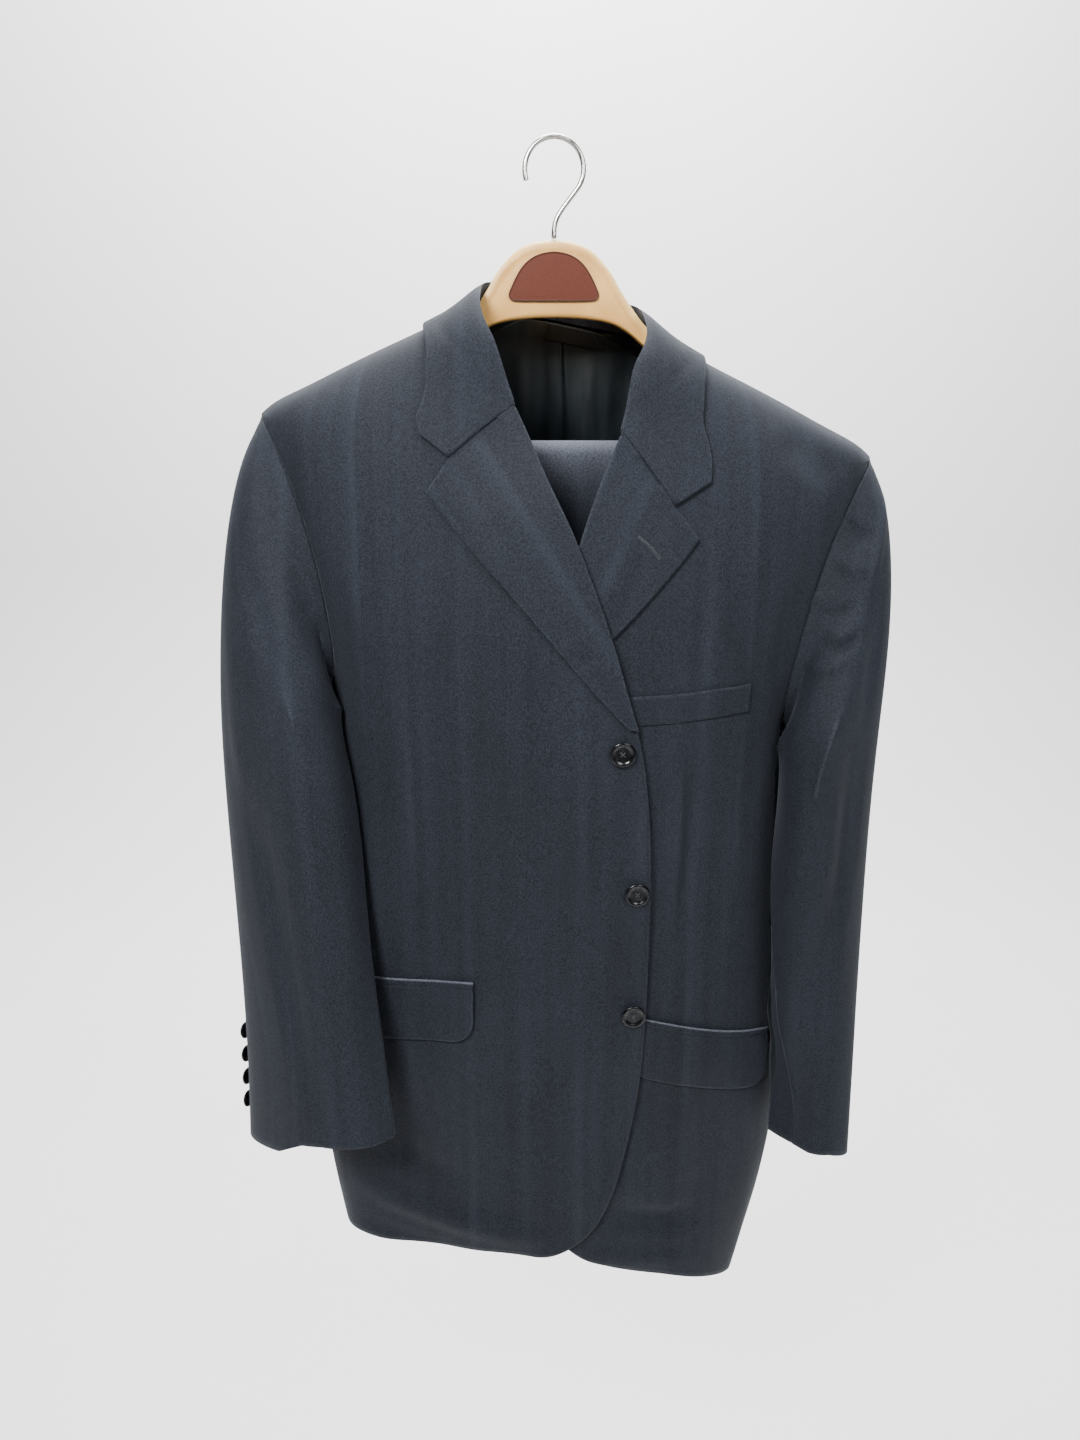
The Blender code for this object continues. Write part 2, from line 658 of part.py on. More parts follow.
def lapel(left, rows=13, columns=5):
    """A lapel, laid back on its front from the roll line to its edge, the notch and the gorge."""
    edge = LAPEL_EDGE_LEFT if left else LAPEL_EDGE_RIGHT
    roll = ROLL_LEFT if left else ROLL_RIGHT
    notch = NOTCH_LEFT if left else NOTCH_RIGHT
    tip = edge[-1]
    gorge = roll[-1]
    split, top_rows = 0.80, 3
    shares = [mix(0.04, split, i / (rows - top_rows - 1)) for i in range(rows - top_rows)]
    shares += [mix(split, 1.0, (i + 1) / top_rows) for i in range(top_rows)]
    grid = []
    for t in shares:
        start = along(roll, t)
        if t < split:
            end = along(edge, t / split)
        else:
            end = mix(tip, notch, (t - split) / (1 - split))
        line = []
        for j in range(columns):
            u = j / (columns - 1)
            x, z = mix(start, end, u)
            if t > split:
                pull = (t - split) / (1 - split)
                x, z = mix((x, z), mix(gorge, notch, u), pull)
                z -= 0.5 * MM * pull
            line.append(front_surface(left, x, z, LAPEL_LIFT + WALL))
        grid.append(line)
    side = "left" if left else "right"
    return wall(f"lapel_{side}", grid, "cloth")


def chest_row(x, z):
    """Angle and height of a spot on the chest."""
    return abs(angle_at(x, z)), z


def between(rows, t):
    """The pair of numbers a share t of the way through rows that are evenly spaced."""
    spaced = [(k, *row) for k, row in enumerate(rows)]
    columns = ("k", "a", "b")
    at = t * (len(rows) - 1)
    return read(spaced, columns, "a", at), read(spaced, columns, "b", at)


def collar_rows(left):
    """Angle and height along the collar's roll line, its seam and the edge of its fall."""
    chest = COLLAR_CHEST_LEFT if left else COLLAR_CHEST_RIGHT
    lines = []
    for line in ("roll", "seam", "edge"):
        rows = []
        for row in chest:
            spot = dict(zip(COLLAR_CHEST_COLUMNS, row))
            rows.append(chest_row(spot[f"{line}_x"], spot[f"{line}_z"]))
        for row in COLLAR_SIDE:
            spot = dict(zip(COLLAR_COLUMNS, row))
            rows.append((spot["angle"], spot[line]))
        lines.append(rows)
    return lines


def collar_station(left, t):
    """The collar's roll, seam, bend and edge at a share t from the gorge to the centre back."""
    sign = 1 if left else -1
    notch = NOTCH_LEFT if left else NOTCH_RIGHT
    rolls, seams, edges = collar_rows(left)
    roll, seam, edge = between(rolls, t), between(seams, t), between(edges, t)
    bend = mix(roll, edge, 0.62)
    pull = max(0.0, 1 - t * (len(rolls) - 1))
    bend = mix(bend, chest_row(*notch), pull)
    return sign, roll, seam, bend, edge


def collar():
    """The collar: a stand up from the neck seam, rolled over into the fall, in one piece."""
    stations = 17
    shares = [i / (stations - 1) for i in range(stations)]
    walk = [(False, t) for t in shares] + [(True, t) for t in reversed(shares[:-1])]
    over, under = COLLAR_LIFT + WALL, COLLAR_LIFT
    outer, inner = [], []
    for left, t in walk:
        sign, roll, seam, bend, edge = collar_station(left, t)

        def put(spot, lift):
            x = ring(sign * spot[0], spot[1]).x
            extra = front_lift(left, x, spot[1]) if spot[0] < 80 else 0.0
            return on_form(sign * spot[0], spot[1], lift + extra)[0]

        crown = (roll[0], roll[1] + 1.4 * MM)
        crease = (roll[0], roll[1] - 0.7 * MM)
        middle = (over - WALL) / 2
        outer.append([
            put(edge, over),
            put(mix(bend, edge, 0.5), over),
            put(bend, over),
            put(mix(roll, bend, 0.55), over + 0.5 * MM),
            put(mix(roll, bend, 0.16), over + 0.3 * MM),
            put(crown, middle),
            put(mix(roll, seam, 0.25), -WALL),
            put(mix(roll, seam, 0.6), -WALL),
            put(seam, -WALL),
        ])
        inner.append([
            put(edge, under),
            put(mix(bend, edge, 0.5), under),
            put(bend, under),
            put(mix(roll, bend, 0.55), under + 0.3 * MM),
            put(mix(roll, bend, 0.18), under + 0.1 * MM),
            put(crease, under / 2),
            put(mix(roll, seam, 0.28), 0.0),
            put(mix(roll, seam, 0.62), 0.0),
            put(seam, 0.0),
        ])
    return shell("collar", outer, inner, "cloth")


def pocket_piece(
    name, left, row, rise=0.0, deep=None, lift=WALL + LAY_GAP, thick=WALL, round_by=0.0
):
    """A strip on a front at a pocket: a flap with round corners, a jet or a welt."""
    pocket = dict(zip(POCKET_COLUMNS, row))
    sign = 1 if left else -1
    deep = pocket["deep"] if deep is None else deep
    width = pocket["outer"] - pocket["inner"]
    rows, columns = (4, 13) if round_by else (2, 9)
    grid = []
    for i in range(rows):
        v = i / (rows - 1)
        line = []
        for j in range(columns):
            u = j / (columns - 1)
            across = mix(pocket["inner"], pocket["outer"], u)
            z = pocket["z"] - pocket["slope"] * (across - pocket["inner"])
            from_end = min(u, 1 - u) * width
            depth = deep
            if round_by and from_end < round_by:
                short = 1 - from_end / round_by
                depth = deep - round_by * 0.8 * (1 - math.sqrt(max(0.0, 1 - short * short)))
            height = z + rise - depth * v
            bulge = FLAP_BULGE * math.sin(math.pi * v) if round_by else 0.0
            line.append(front_surface(left, sign * across, height, lift + bulge))
        grid.append(line)
    return wall(name, grid, "cloth", thick)


def disc(name, centre, away, radius, turns=20):
    """A sewn button: a rimmed disc on the cloth."""
    mesh = bmesh.new()
    profile = [
        (0.0, 0.0),
        (radius * 0.80, 0.0),
        (radius, BUTTON_THICK * 0.35),
        (radius, BUTTON_THICK * 0.75),
        (radius * 0.92, BUTTON_THICK),
        (radius * 0.70, BUTTON_THICK * 0.85),
        (radius * 0.60, BUTTON_THICK * 0.60),
        (0.0, BUTTON_THICK * 0.60),
    ]
    axis = away.normalized()
    across = axis.orthogonal().normalized()
    other = axis.cross(across)
    loops = []
    for reach, height in profile:
        if reach == 0:
            loops.append([mesh.verts.new(centre + axis * height)])
            continue
        loop = []
        for k in range(turns):
            a = 2 * math.pi * k / turns
            flat = across * math.cos(a) + other * math.sin(a)
            loop.append(mesh.verts.new(centre + flat * reach + axis * height))
        loops.append(loop)
    for low, high in zip(loops, loops[1:]):
        for k in range(turns):
            m = (k + 1) % turns
            if len(low) == 1:
                mesh.faces.new((low[0], high[m], high[k]))
            elif len(high) == 1:
                mesh.faces.new((low[k], low[m], high[0]))
            else:
                mesh.faces.new((low[k], low[m], high[m], high[k]))
    return add_piece(name, mesh, "button")


def clear_of_body(point, gap, lap):
    """A sleeve's point, moved out until it clears the body's form by a gap."""
    if point.z > ARMHOLE_BOTTOM_Z and lap == 0:
        return point
    half = read(BODY, BODY_COLUMNS, "half", point.z)
    depth = read(BODY, BODY_COLUMNS, "front" if point.y < 0 else "back", point.z)
    angle = math.degrees(math.atan2(abs(point.x) / half, -point.y / depth))
    body = ring(math.copysign(angle, point.x), point.z)
    near, far = math.hypot(point.x, point.y), math.hypot(body.x, body.y) + gap
    if near >= far:
        return point
    return Vector((point.x * far / near, point.y * far / near, point.z))


def armhole_point(phi, sign):
    """The armhole's edge by a turn: 0 at its top, 180 at its bottom, positive at the front."""
    z = armhole_z(abs(phi) / 180)
    point = ring(sign * armhole_angle(z, phi < 0), z)
    return point + Vector((sign * ARMHOLE_GAP, 0, 0))


def tube_point(table, t, phi, sign):
    """A sleeve's tube: t from the armhole to the cuff, phi round it, 0 at the outside."""
    spot = t * (len(table) - 1)
    rows = [(i, *row) for i, row in enumerate(table)]
    columns = ("i",) + SLEEVE_COLUMNS
    got = {name: read(rows, columns, name, spot) for name in SLEEVE_COLUMNS}
    inside = Vector((got["in_x"], got["in_y"], got["in_z"]))
    outside = Vector((got["out_x"], got["out_y"], got["out_z"]))
    middle = (inside + outside) / 2
    reach = (outside - inside) / 2
    flat = Vector((reach.x, reach.y, 0)).normalized()
    ahead = Vector((flat.y, -flat.x, 0)) * got["deep"]
    turn = math.radians(phi)
    size = abs(math.cos(turn)) ** SLEEVE_SQUARE + abs(math.sin(turn)) ** SLEEVE_SQUARE
    size = size ** (-1 / SLEEVE_SQUARE)
    point = middle + reach * math.cos(turn) * size + ahead * math.sin(turn) * size
    return Vector((sign * point.x, point.y, point.z))


def sleeve_lap(t, phi, sign):
    """How much of its lap over the body a sleeve has: full along its front edge."""
    turn = phi % 360
    rise, full, hold, end = LAP_TURNS
    round_it = smooth((turn - rise) / (full - rise)) * smooth((end - turn) / (end - hold))
    down = smooth((t - LAP_START) / (LAP_FULL - LAP_START))
    return round_it * down * smooth((LAP_END[sign] - t) / (LAP_END[sign] - 0.5))


def sleeve_point(table, t, phi, sign):
    """A sleeve's outer surface: its tube, drawn in to the armhole at the head."""
    phi = (phi + 180) % 360 - 180
    point = tube_point(table, t, phi, sign)
    if t < HEAD_SHARE:
        pull = (1 - t / HEAD_SHARE) ** 2
        point += (armhole_point(phi, sign) - tube_point(table, 0.0, phi, sign)) * pull
    lap = sleeve_lap(t, phi, sign)
    point += Vector((-sign * LAP_IN, -LAP_AHEAD, 0)) * lap
    gap = SLEEVE_CLEAR * smooth(t / 0.1)
    if point.z > ARMHOLE_BOTTOM_Z:
        gap *= smooth(lap / 0.3)
    return clear_of_body(point, gap, lap)


def sleeve_surface(table, t, phi, sign):
    """A point of a sleeve and the direction straight into it."""
    step = 0.004
    low, high = max(0.0, t - step), min(1.0, t + step)
    point = sleeve_point(table, t, phi, sign)
    down = sleeve_point(table, high, phi, sign) - sleeve_point(table, low, phi, sign)
    round_it = sleeve_point(table, t, phi + 2, sign) - sleeve_point(table, t, phi - 2, sign)
    away = down.cross(round_it).normalized() * sign
    return point, away


def sleeve(left, rows=16):
    """A two-piece sleeve: the top sleeve shows in front, the under sleeve is behind it."""
    sign = 1 if left else -1
    table = SLEEVE_LEFT if left else SLEEVE_RIGHT
    side = "left" if left else "right"
    for part, columns in (("top", 14), ("under", 9)):
        grid = []
        for i in range(rows):
            t = (i / (rows - 1)) ** 1.15
            front = mix(SEAM_FRONT_HEAD, SEAM_FRONT_CUFF, smooth(t / 0.7))
            back = mix(SEAM_BACK_HEAD, SEAM_BACK_CUFF, smooth(t / 0.9))
            if part == "top":
                start, end = back + SEAM_TURN, front - SEAM_TURN
            else:
                start, end = front + SEAM_TURN, back + 360 - SEAM_TURN
            line = []
            for j in range(columns):
                line.append(sleeve_surface(table, t, mix(start, end, j / (columns - 1)), sign))
            grid.append(line)
        wall(f"sleeve_{side}_{part}", grid, "cloth")
    for k in range(CUFF_BUTTONS):
        t = CUFF_BUTTON_FIRST - CUFF_BUTTON_STEP * k
        point, inward = sleeve_surface(table, t, CUFF_BUTTON_TURN[side], sign)
        centre = hang(point) - inward * CUFF_BUTTON_LIFT
        disc(f"button_cuff_{side}_{k + 1}", centre, -inward, BUTTON_CUFF_RADIUS, turns=12)


def front_buttons():
    """Three buttons down the right front's edge."""
    for k, (x, z) in enumerate(BUTTONS_FRONT):
        point, away = front_surface(False, x, z, 0.0)
        disc(f"button_front_{k + 1}", hang(point) + away * BUTTON_GAP, away, BUTTON_FRONT_RADIUS)


def lining(left, rows=10, columns=8):
    """Half of the back lining, inside the back from the neck seam to below the blades."""
    sign = 1 if left else -1
    lift = -WALL - LINING_GAP
    grid = []
    for i in range(rows):
        t = 1 - (1 - i / (rows - 1)) ** 1.6
        line = []
        for j in range(columns):
            u = j / (columns - 1)
            angle = mix(180, 118, u)
            if u == 0:
                angle -= seam_nudge(SEAM_GAP / 2, 180, -0.2)
            top = neck_seam(angle) - LINING_TOP_GAP
            scoop = smooth((u - 0.45) * 1.9) * LINING_SCOOP
            line.append(on_form(sign * angle, mix(LINING_BOTTOM_Z, top - scoop, t), lift))
        grid.append(line)
    side = "left" if left else "right"
    return wall(f"lining_back_{side}", grid, "lining", LINING_WALL)


def neck_label():
    """A bare woven label on the lining at the back neck."""
    lift = -WALL - LINING_GAP - LINING_WALL - LABEL_GAP
    grid = []
    for i in range(3):
        line = []
        for j in range(6):
            angle = LABEL_ANGLE + LABEL_HALF_ANGLE * (2 * j / 5 - 1)
            turned = angle if angle <= 180 else angle - 360
            line.append(on_form(turned, LABEL_TOP_Z - LABEL_DEEP * (1 - i / 2), lift))
        grid.append(line)
    return wall("label_neck", grid, "label", LABEL_WALL)


def hanger_section(row, sign):
    """One upright ring of the moulded hanger."""
    arm = dict(zip(HANGER_COLUMNS, row))
    middle, tall = (arm["top"] + arm["bottom"]) / 2, (arm["top"] - arm["bottom"]) / 2
    ring_points = []
    for k in range(12):
        a = 2 * math.pi * (k + 0.5) / 12
        square = HANGER_SQUARE
        size = (abs(math.cos(a)) ** square + abs(math.sin(a)) ** square) ** (-1 / square)
        y = arm["deep"] * math.cos(a) * size
        ring_points.append((sign * arm["x"], y, middle + tall * math.sin(a) * size))
    return ring_points


def hanger_panel():
    """The bare rounded triangle set on the front of the hanger's crown."""
    mesh = bmesh.new()
    behind = -HANGER[0][3] - PANEL_GAP
    outline = []
    for k, (corner, radius) in enumerate(zip(PANEL_CORNERS, PANEL_ROUNDING)):
        here = Vector(corner)
        before = (Vector(PANEL_CORNERS[k - 1]) - here).normalized()
        after = (Vector(PANEL_CORNERS[(k + 1) % 4]) - here).normalized()
        start, end = here + before * radius, here + after * radius
        for step in range(6):
            s = step / 5
            outline.append(start * (1 - s) ** 2 + here * 2 * s * (1 - s) + end * s * s)
    back = [mesh.verts.new((p.x, behind, p.y)) for p in outline]
    fore = [mesh.verts.new((p.x, behind - PANEL_THICK, p.y)) for p in outline]
    for k in range(len(outline)):
        m = (k + 1) % len(outline)
        mesh.faces.new((back[k], back[m], fore[m], fore[k]))
    mesh.faces.new(back)
    mesh.faces.new(fore)
    return add_piece("hanger_panel", mesh, "inset", flat=True)


def hanger_bar():
    """The round bar between the hanger's two sockets."""
    sections = []
    for x in (-BAR_HALF, BAR_HALF):
        line = []
        for k in range(16):
            a = 2 * math.pi * k / 16
            line.append((x, BAR_RADIUS * math.cos(a), BAR_Z + BAR_RADIUS * math.sin(a)))
        sections.append(line)
    return loft("hanger_bar", sections, "moulding")


def hanger_hook():
    """The wire hook: a short stem that cranks into an open turn round the rail."""
    route = [(0.0, HANGER[0][1] + 0.4 * MM), (0.0, -0.0580), (0.0030, -0.0500)]
    centre_z = HOOK_WIRE - HOOK_RADIUS
    for k in range(19):
        a = math.radians(mix(HOOK_START, HOOK_END, k / 18))
        route.append((HOOK_RADIUS * math.cos(a), centre_z + HOOK_RADIUS * math.sin(a)))
    sections = []
    for k, (x, z) in enumerate(route):
        low = Vector(route[max(0, k - 1)])
        high = Vector(route[min(len(route) - 1, k + 1)])
        forward = (high - low).normalized()
        line = []
        for m in range(10):
            a = 2 * math.pi * m / 10
            side = HOOK_WIRE * math.cos(a)
            line.append((x - forward.y * side, HOOK_WIRE * math.sin(a), z + forward.x * side))
        sections.append(line)
    return loft("hanger_hook", sections, "wire")


def hanger():
    """The moulded hanger: crown, shoulders and bar sockets, then its panel, bar and hook."""
    rows = [hanger_section(row, -1) for row in reversed(HANGER)]
    rows += [hanger_section(row, 1) for row in HANGER[1:]]
    loft("hanger_body", rows, "moulding")
    hanger_panel()
    hanger_bar()
    hanger_hook()


def leg_path(radius, front_long, back_long):
    """Stations down the front, over the bar and down the back: y, z and the run from the fold."""
    stations = []
    quarter = math.pi / 2 * radius
    for k in range(9):
        run = mix(front_long, 0.0, k / 8)
        stations.append((-radius, BAR_Z - run, -run - quarter))
    for k in range(1, 8):
        a = math.pi * k / 8
        y, z = -radius * math.cos(a), BAR_Z + radius * math.sin(a)
        stations.append((y, z, (a - math.pi / 2) * radius))
    for k in range(13):
        run = mix(0.0, back_long, k / 12)
        stations.append((radius, BAR_Z - run, run + quarter))
    return stations


def leg(name, inner_radius, front_long, back_long):
    """One trouser leg, creased flat: its two layers as one slab with round edges, over the bar."""
    edge = LEG_THICK / 2
    section = (
        (-1, 0.0, 0.0),
        (-1, LEG_ROUND, 0.9),
        (0, 0.0, 1.0),
        (1, LEG_ROUND, 0.9),
        (1, 0.0, 0.0),
        (1, LEG_ROUND, -0.9),
        (0, 0.0, -1.0),
        (-1, LEG_ROUND, -0.9),
    )
    sections = []
    for y, z, run in leg_path(inner_radius + edge, front_long, back_long):
        table = LEG_FRONT if run < 0 else LEG_BACK
        half = read(table, LEG_COLUMNS, "half", abs(run))
        centre = read(table, LEG_COLUMNS, "middle", abs(run))
        out = Vector((0, y, max(0.0, z - BAR_Z))).normalized()
        line = []
        for side, inset, level in section:
            line.append(Vector((centre + side * (half - inset), y, z)) + out * edge * level)
        sections.append(line)
    return loft(name, sections, "cloth")


def trousers():
    """Both legs over the bar, one on the other, and the waistband round their upper ends."""
    first = BAR_RADIUS + LEG_GAP
    second = first + LEG_THICK + LEG_GAP
    leg("trouser_leg_right", first, LEG_RIGHT_FRONT, LEG_RISE)
    leg("trouser_leg_left", second, LEG_LEFT_FRONT, LEG_RISE)
    run = LEG_RISE + math.pi / 2 * second
    half = read(LEG_BACK, LEG_COLUMNS, "half", run)
    centre = read(LEG_BACK, LEG_COLUMNS, "middle", run)
    near = first - WAISTBAND_PROUD
    far = second + LEG_THICK + WAISTBAND_PROUD
    corner = WAISTBAND_CORNER
    outline = (
        (-half, near + corner),
        (-half + corner, near),
        (half - corner, near),
        (half, near + corner),
        (half, far - corner),
        (half - corner, far),
        (-half + corner, far),
        (-half, far - corner),
    )
    top = BAR_Z - LEG_RISE - LEG_GAP
    sections = []
    for z in (top, top - WAISTBAND_DEEP):
        sections.append([(centre + x, y, z) for x, y in outline])
    loft("trouser_waistband", sections, "cloth")


def jacket():
    """Every cut piece of the jacket."""
    for left in (False, True):
        front_panel(left)
        side_panel(left)
        back_panel(left)
        lapel(left)
        lining(left)
        sleeve(left)
        side = "left" if left else "right"
        pocket = FLAP_LEFT if left else FLAP_RIGHT
        pocket_piece(f"flap_{side}", left, pocket, round_by=FLAP_CORNER)
        pocket_piece(
            f"jet_{side}", left, pocket, JET_RISE, JET_DEEP, lift=JET_LIFT, thick=JET_THICK
        )
    collar()
    pocket_piece("welt_breast", True, WELT, lift=WELT_LIFT, thick=WELT_THICK)
    neck_label()
    front_buttons()


def main():
    for old in list(bpy.data.objects):
        bpy.data.objects.remove(old, do_unlink=True)
    jacket()
    trousers()
    hanger()


main()
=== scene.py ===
"""The looks of a three-button suit jacket on a moulded hanger, its trousers over the bar.

Each cloth piece is a fine shell grown from its plain solid in the frame. Its creases are laid
along short paths, as soft troughs and ridges, and push the cloth in or out from the middle of
the body or of the sleeve that it wraps. Metres, +Z up, the front faces -Y.
"""

import logging
import math
from dataclasses import dataclass, field
from enum import Enum

import bmesh
import bpy
import numpy as np
from mathutils import Matrix, Vector
from mathutils.bvhtree import BVHTree
from mathutils.geometry import convex_hull_2d
from mathutils.kdtree import KDTree


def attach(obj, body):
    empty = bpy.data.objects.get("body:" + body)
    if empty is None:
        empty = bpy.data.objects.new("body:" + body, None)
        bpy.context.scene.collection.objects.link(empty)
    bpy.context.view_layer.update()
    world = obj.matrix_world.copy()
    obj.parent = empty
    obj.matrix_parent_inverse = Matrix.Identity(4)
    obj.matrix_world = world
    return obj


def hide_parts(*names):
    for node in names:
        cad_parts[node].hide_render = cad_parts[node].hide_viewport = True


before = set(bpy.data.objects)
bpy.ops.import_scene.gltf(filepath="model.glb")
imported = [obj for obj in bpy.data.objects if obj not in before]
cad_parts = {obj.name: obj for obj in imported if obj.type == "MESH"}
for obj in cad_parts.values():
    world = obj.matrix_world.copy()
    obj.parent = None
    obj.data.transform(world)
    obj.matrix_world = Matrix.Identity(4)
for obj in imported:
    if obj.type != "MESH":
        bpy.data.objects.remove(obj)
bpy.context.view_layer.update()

MM = 0.001
SEAM_REACH = 3.6 * MM
SEAM_FADE = 9.0 * MM
SEAM_DRAW = 0.52
FAR = 0.05
BAND = 3 * MM
LIT_REACH, LIT_LEVEL = 1.6 * MM, 0.4 * MM
RIPPLE_SIZE, RIPPLE_HEIGHT = 0.055, 0.35 * MM
ROOT = "root"
LOG = logging.getLogger("suit")

Path = tuple[tuple[float, float], ...]


class Region(Enum):
    """The hollow form that a piece of cloth wraps."""

    BODY = "body"
    SLEEVE_RIGHT = "sleeve_right"
    SLEEVE_LEFT = "sleeve_left"
    TROUSERS = "trousers"


class Face(Enum):
    """The side of the garment that a crease lies on."""

    FRONT = -1.0
    BACK = 1.0


class Grain(Enum):
    """How the cloth's warp runs on a piece."""

    DOWN = "down"
    LAPEL_RIGHT = "lapel_right"
    LAPEL_LEFT = "lapel_left"


GRAIN_TURN: dict[Grain, float] = {
    Grain.DOWN: 0.0,
    Grain.LAPEL_RIGHT: math.radians(33),
    Grain.LAPEL_LEFT: math.radians(-24),
}


@dataclass(frozen=True)
class Crease:
    """A soft trough or ridge through points given as (x, z) in millimetres."""

    region: Region
    path: Path
    half_width: float
    depth: float
    face: Face = Face.FRONT
    fade: float = 0.35


def creases(
    region: Region, face: Face, *rows: tuple[Path, float, float]
) -> tuple[Crease, ...]:
    """The creases of one side of a form, from rows of (path, half width, depth)."""
    return tuple(Crease(region, path, half, depth, face) for path, half, depth in rows)


# Creases of the body: those the light picks out in front, and plain ones round the back
BODY_FRONT = creases(
    Region.BODY,
    Face.FRONT,
    (((118, -310), (126, -350), (137, -382), (150, -412)), 15, 2.6),
    (((100, -330), (112, -365), (118, -392)), 13, -1.4),
    (((80, -412), (92, -442), (98, -460), (98, -510), (95, -620)), 8, 4.8),
    (((120, -446), (111, -470), (110, -520), (107, -620)), 8, -3.6),
    (((82, -450), (85, -480), (85, -540), (82, -640)), 5, -2.6),
    (((165, -205), (197, -226), (226, -246)), 22, -3.4),
    (((196, -300), (182, -350), (172, -400)), 16, -2.4),
    (((40, -862), (70, -880), (105, -888), (140, -884)), 20, -5.5),
    (((30, -914), (80, -926), (140, -940)), 15, 2.2),
    (((-190, -850), (-150, -866), (-107, -876), (-40, -888), (20, -900)), 20, 4.4),
    (((-188, -894), (-130, -908), (-60, -916), (0, -914)), 15, -2.4),
    (((-150, -800), (-110, -826), (-60, -840)), 24, -2.2),
    (((-172, -250), (-150, -330), (-146, -400), (-150, -500)), 22, 1.8),
    (((-128, -470), (-120, -560), (-118, -640)), 26, -1.8),
    (((-84, -270), (-96, -320), (-100, -390)), 20, 1.5),
    (((-70, -420), (-40, -470), (0, -510), (30, -530)), 24, -1.6),
    (((-20, -560), (-30, -640), (-26, -760)), 26, 1.6),
    (((120, -520), (126, -580), (124, -640)), 22, -1.6),
    (((150, -480), (156, -560), (152, -640)), 18, 1.8),
    (((60, -715), (64, -780), (58, -850)), 20, -2.0),
    (((110, -740), (116, -810), (122, -870)), 22, 2.6),
)
BODY_BACK = creases(
    Region.BODY,
    Face.BACK,
    (((-150, -210), (-90, -236), (-20, -250)), 20, 2.4),
    (((120, -215), (80, -240), (24, -256)), 18, 2.0),
    (((-150, -330), (-120, -420), (-100, -540)), 22, -3.0),
    (((146, -320), (122, -430), (96, -530)), 24, -2.6),
    (((-60, -440), (-66, -600), (-84, -760)), 20, 2.6),
    (((60, -480), (70, -620), (80, -800)), 22, 2.2),
    (((-120, -640), (-130, -760), (-140, -880)), 18, -3.4),
    (((118, -600), (126, -740), (130, -880)), 20, -3.0),
)
BODY_CREASES = BODY_FRONT + BODY_BACK

# Creases of the sleeves: the puckered head, the bend of the arm and the break above the cuff
SLEEVE_LEFT_FRONT = creases(
    Region.SLEEVE_LEFT,
    Face.FRONT,
    (((196, -336), (208, -331), (222, -327)), 6, 3.2),
    (((206, -344), (222, -339), (236, -334)), 5, -3.6),
    (((206, -359), (222, -355), (234, -350)), 6, 2.6),
    (((208, -370), (224, -364), (238, -355)), 5.5, -3.2),
    (((196, -385), (210, -380), (226, -372)), 7, 2.4),
    (((218, -268), (232, -279), (248, -292)), 8, -4.2),
    (((214, -292), (228, -304), (244, -312)), 9, 3.2),
    (((262, -246), (252, -290), (242, -330)), 7, 2.6),
    (((252, -300), (246, -380), (240, -440)), 9, -2.6),
    (((236, -400), (235, -470), (232, -530), (225, -580), (217, -630), (212, -700)), 16, -4.5),
    (((207, -400), (213, -460), (216, -530), (210, -600)), 15, 2.4),
    (((200, -640), (206, -700), (212, -750)), 16, 2.0),
)
SLEEVE_RIGHT_FRONT = creases(
    Region.SLEEVE_RIGHT,
    Face.FRONT,
    (((-236, -262), (-231, -311), (-219, -354), (-213, -400), (-206, -440)), 17, -2.8),
    (((-236, -470), (-229, -534), (-222, -580), (-214, -640), (-205, -694), (-190, -760)), 19, -4.6),
    (((-196, -500), (-186, -590), (-172, -660), (-156, -730)), 20, 2.4),
    (((-196, -250), (-184, -300), (-180, -370), (-180, -440)), 14, 2.2),
    (((-250, -330), (-247, -420), (-246, -500)), 14, 1.8),
)
SLEEVE_LEFT_BACK = creases(
    Region.SLEEVE_LEFT,
    Face.BACK,
    (((240, -300), (236, -420), (232, -540)), 12, -3.0),
    (((216, -560), (214, -660), (216, -740)), 12, 2.6),
)
SLEEVE_RIGHT_BACK = creases(
    Region.SLEEVE_RIGHT,
    Face.BACK,
    (((-246, -300), (-240, -420), (-230, -540)), 12, -3.0),
    (((-214, -560), (-204, -660), (-196, -740)), 12, 2.6),
)
SLEEVE_CREASES = SLEEVE_LEFT_FRONT + SLEEVE_RIGHT_FRONT + SLEEVE_LEFT_BACK + SLEEVE_RIGHT_BACK

# How each cuff hangs, as (x, lift), from its outer to its inner side
CUFF_HANG: dict[Region, Path] = {
    Region.SLEEVE_RIGHT: ((-272, 0), (-250, -3), (-232, -6), (-208, 5), (-190, 4), (-160, -5), (-130, -14)),
    Region.SLEEVE_LEFT: ((180, -4), (200, -5), (220, -4), (236, 2), (256, 3)),
}

# Creases of the lining: two hanging folds each side of its centre seam
LINING_CREASES = creases(
    Region.BODY,
    Face.BACK,
    (((-28, -130), (-26, -200), (-30, -290)), 11, -2.2),
    (((-8, -130), (-6, -210), (-8, -300)), 9, 1.6),
    (((32, -132), (34, -200), (30, -290)), 12, -2.0),
    (((52, -150), (58, -220), (52, -300)), 12, 1.6),
)

# Creases of the lapels and collar, where the cloth breaks over the front below
LAPEL_CREASES = creases(
    Region.BODY,
    Face.FRONT,
    (((-2, -364), (12, -354), (30, -347)), 7, 1.5),
    (((8, -376), (22, -366), (36, -360)), 6, -1.2),
    (((-60, -160), (-52, -172), (-44, -184)), 6, -1.0),
    (((60, -160), (66, -180), (70, -204)), 9, 0.9),
    (((40, -250), (52, -290), (40, -340)), 12, 1.2),
    (((-60, -240), (-56, -280), (-30, -320)), 14, 1.4),
)


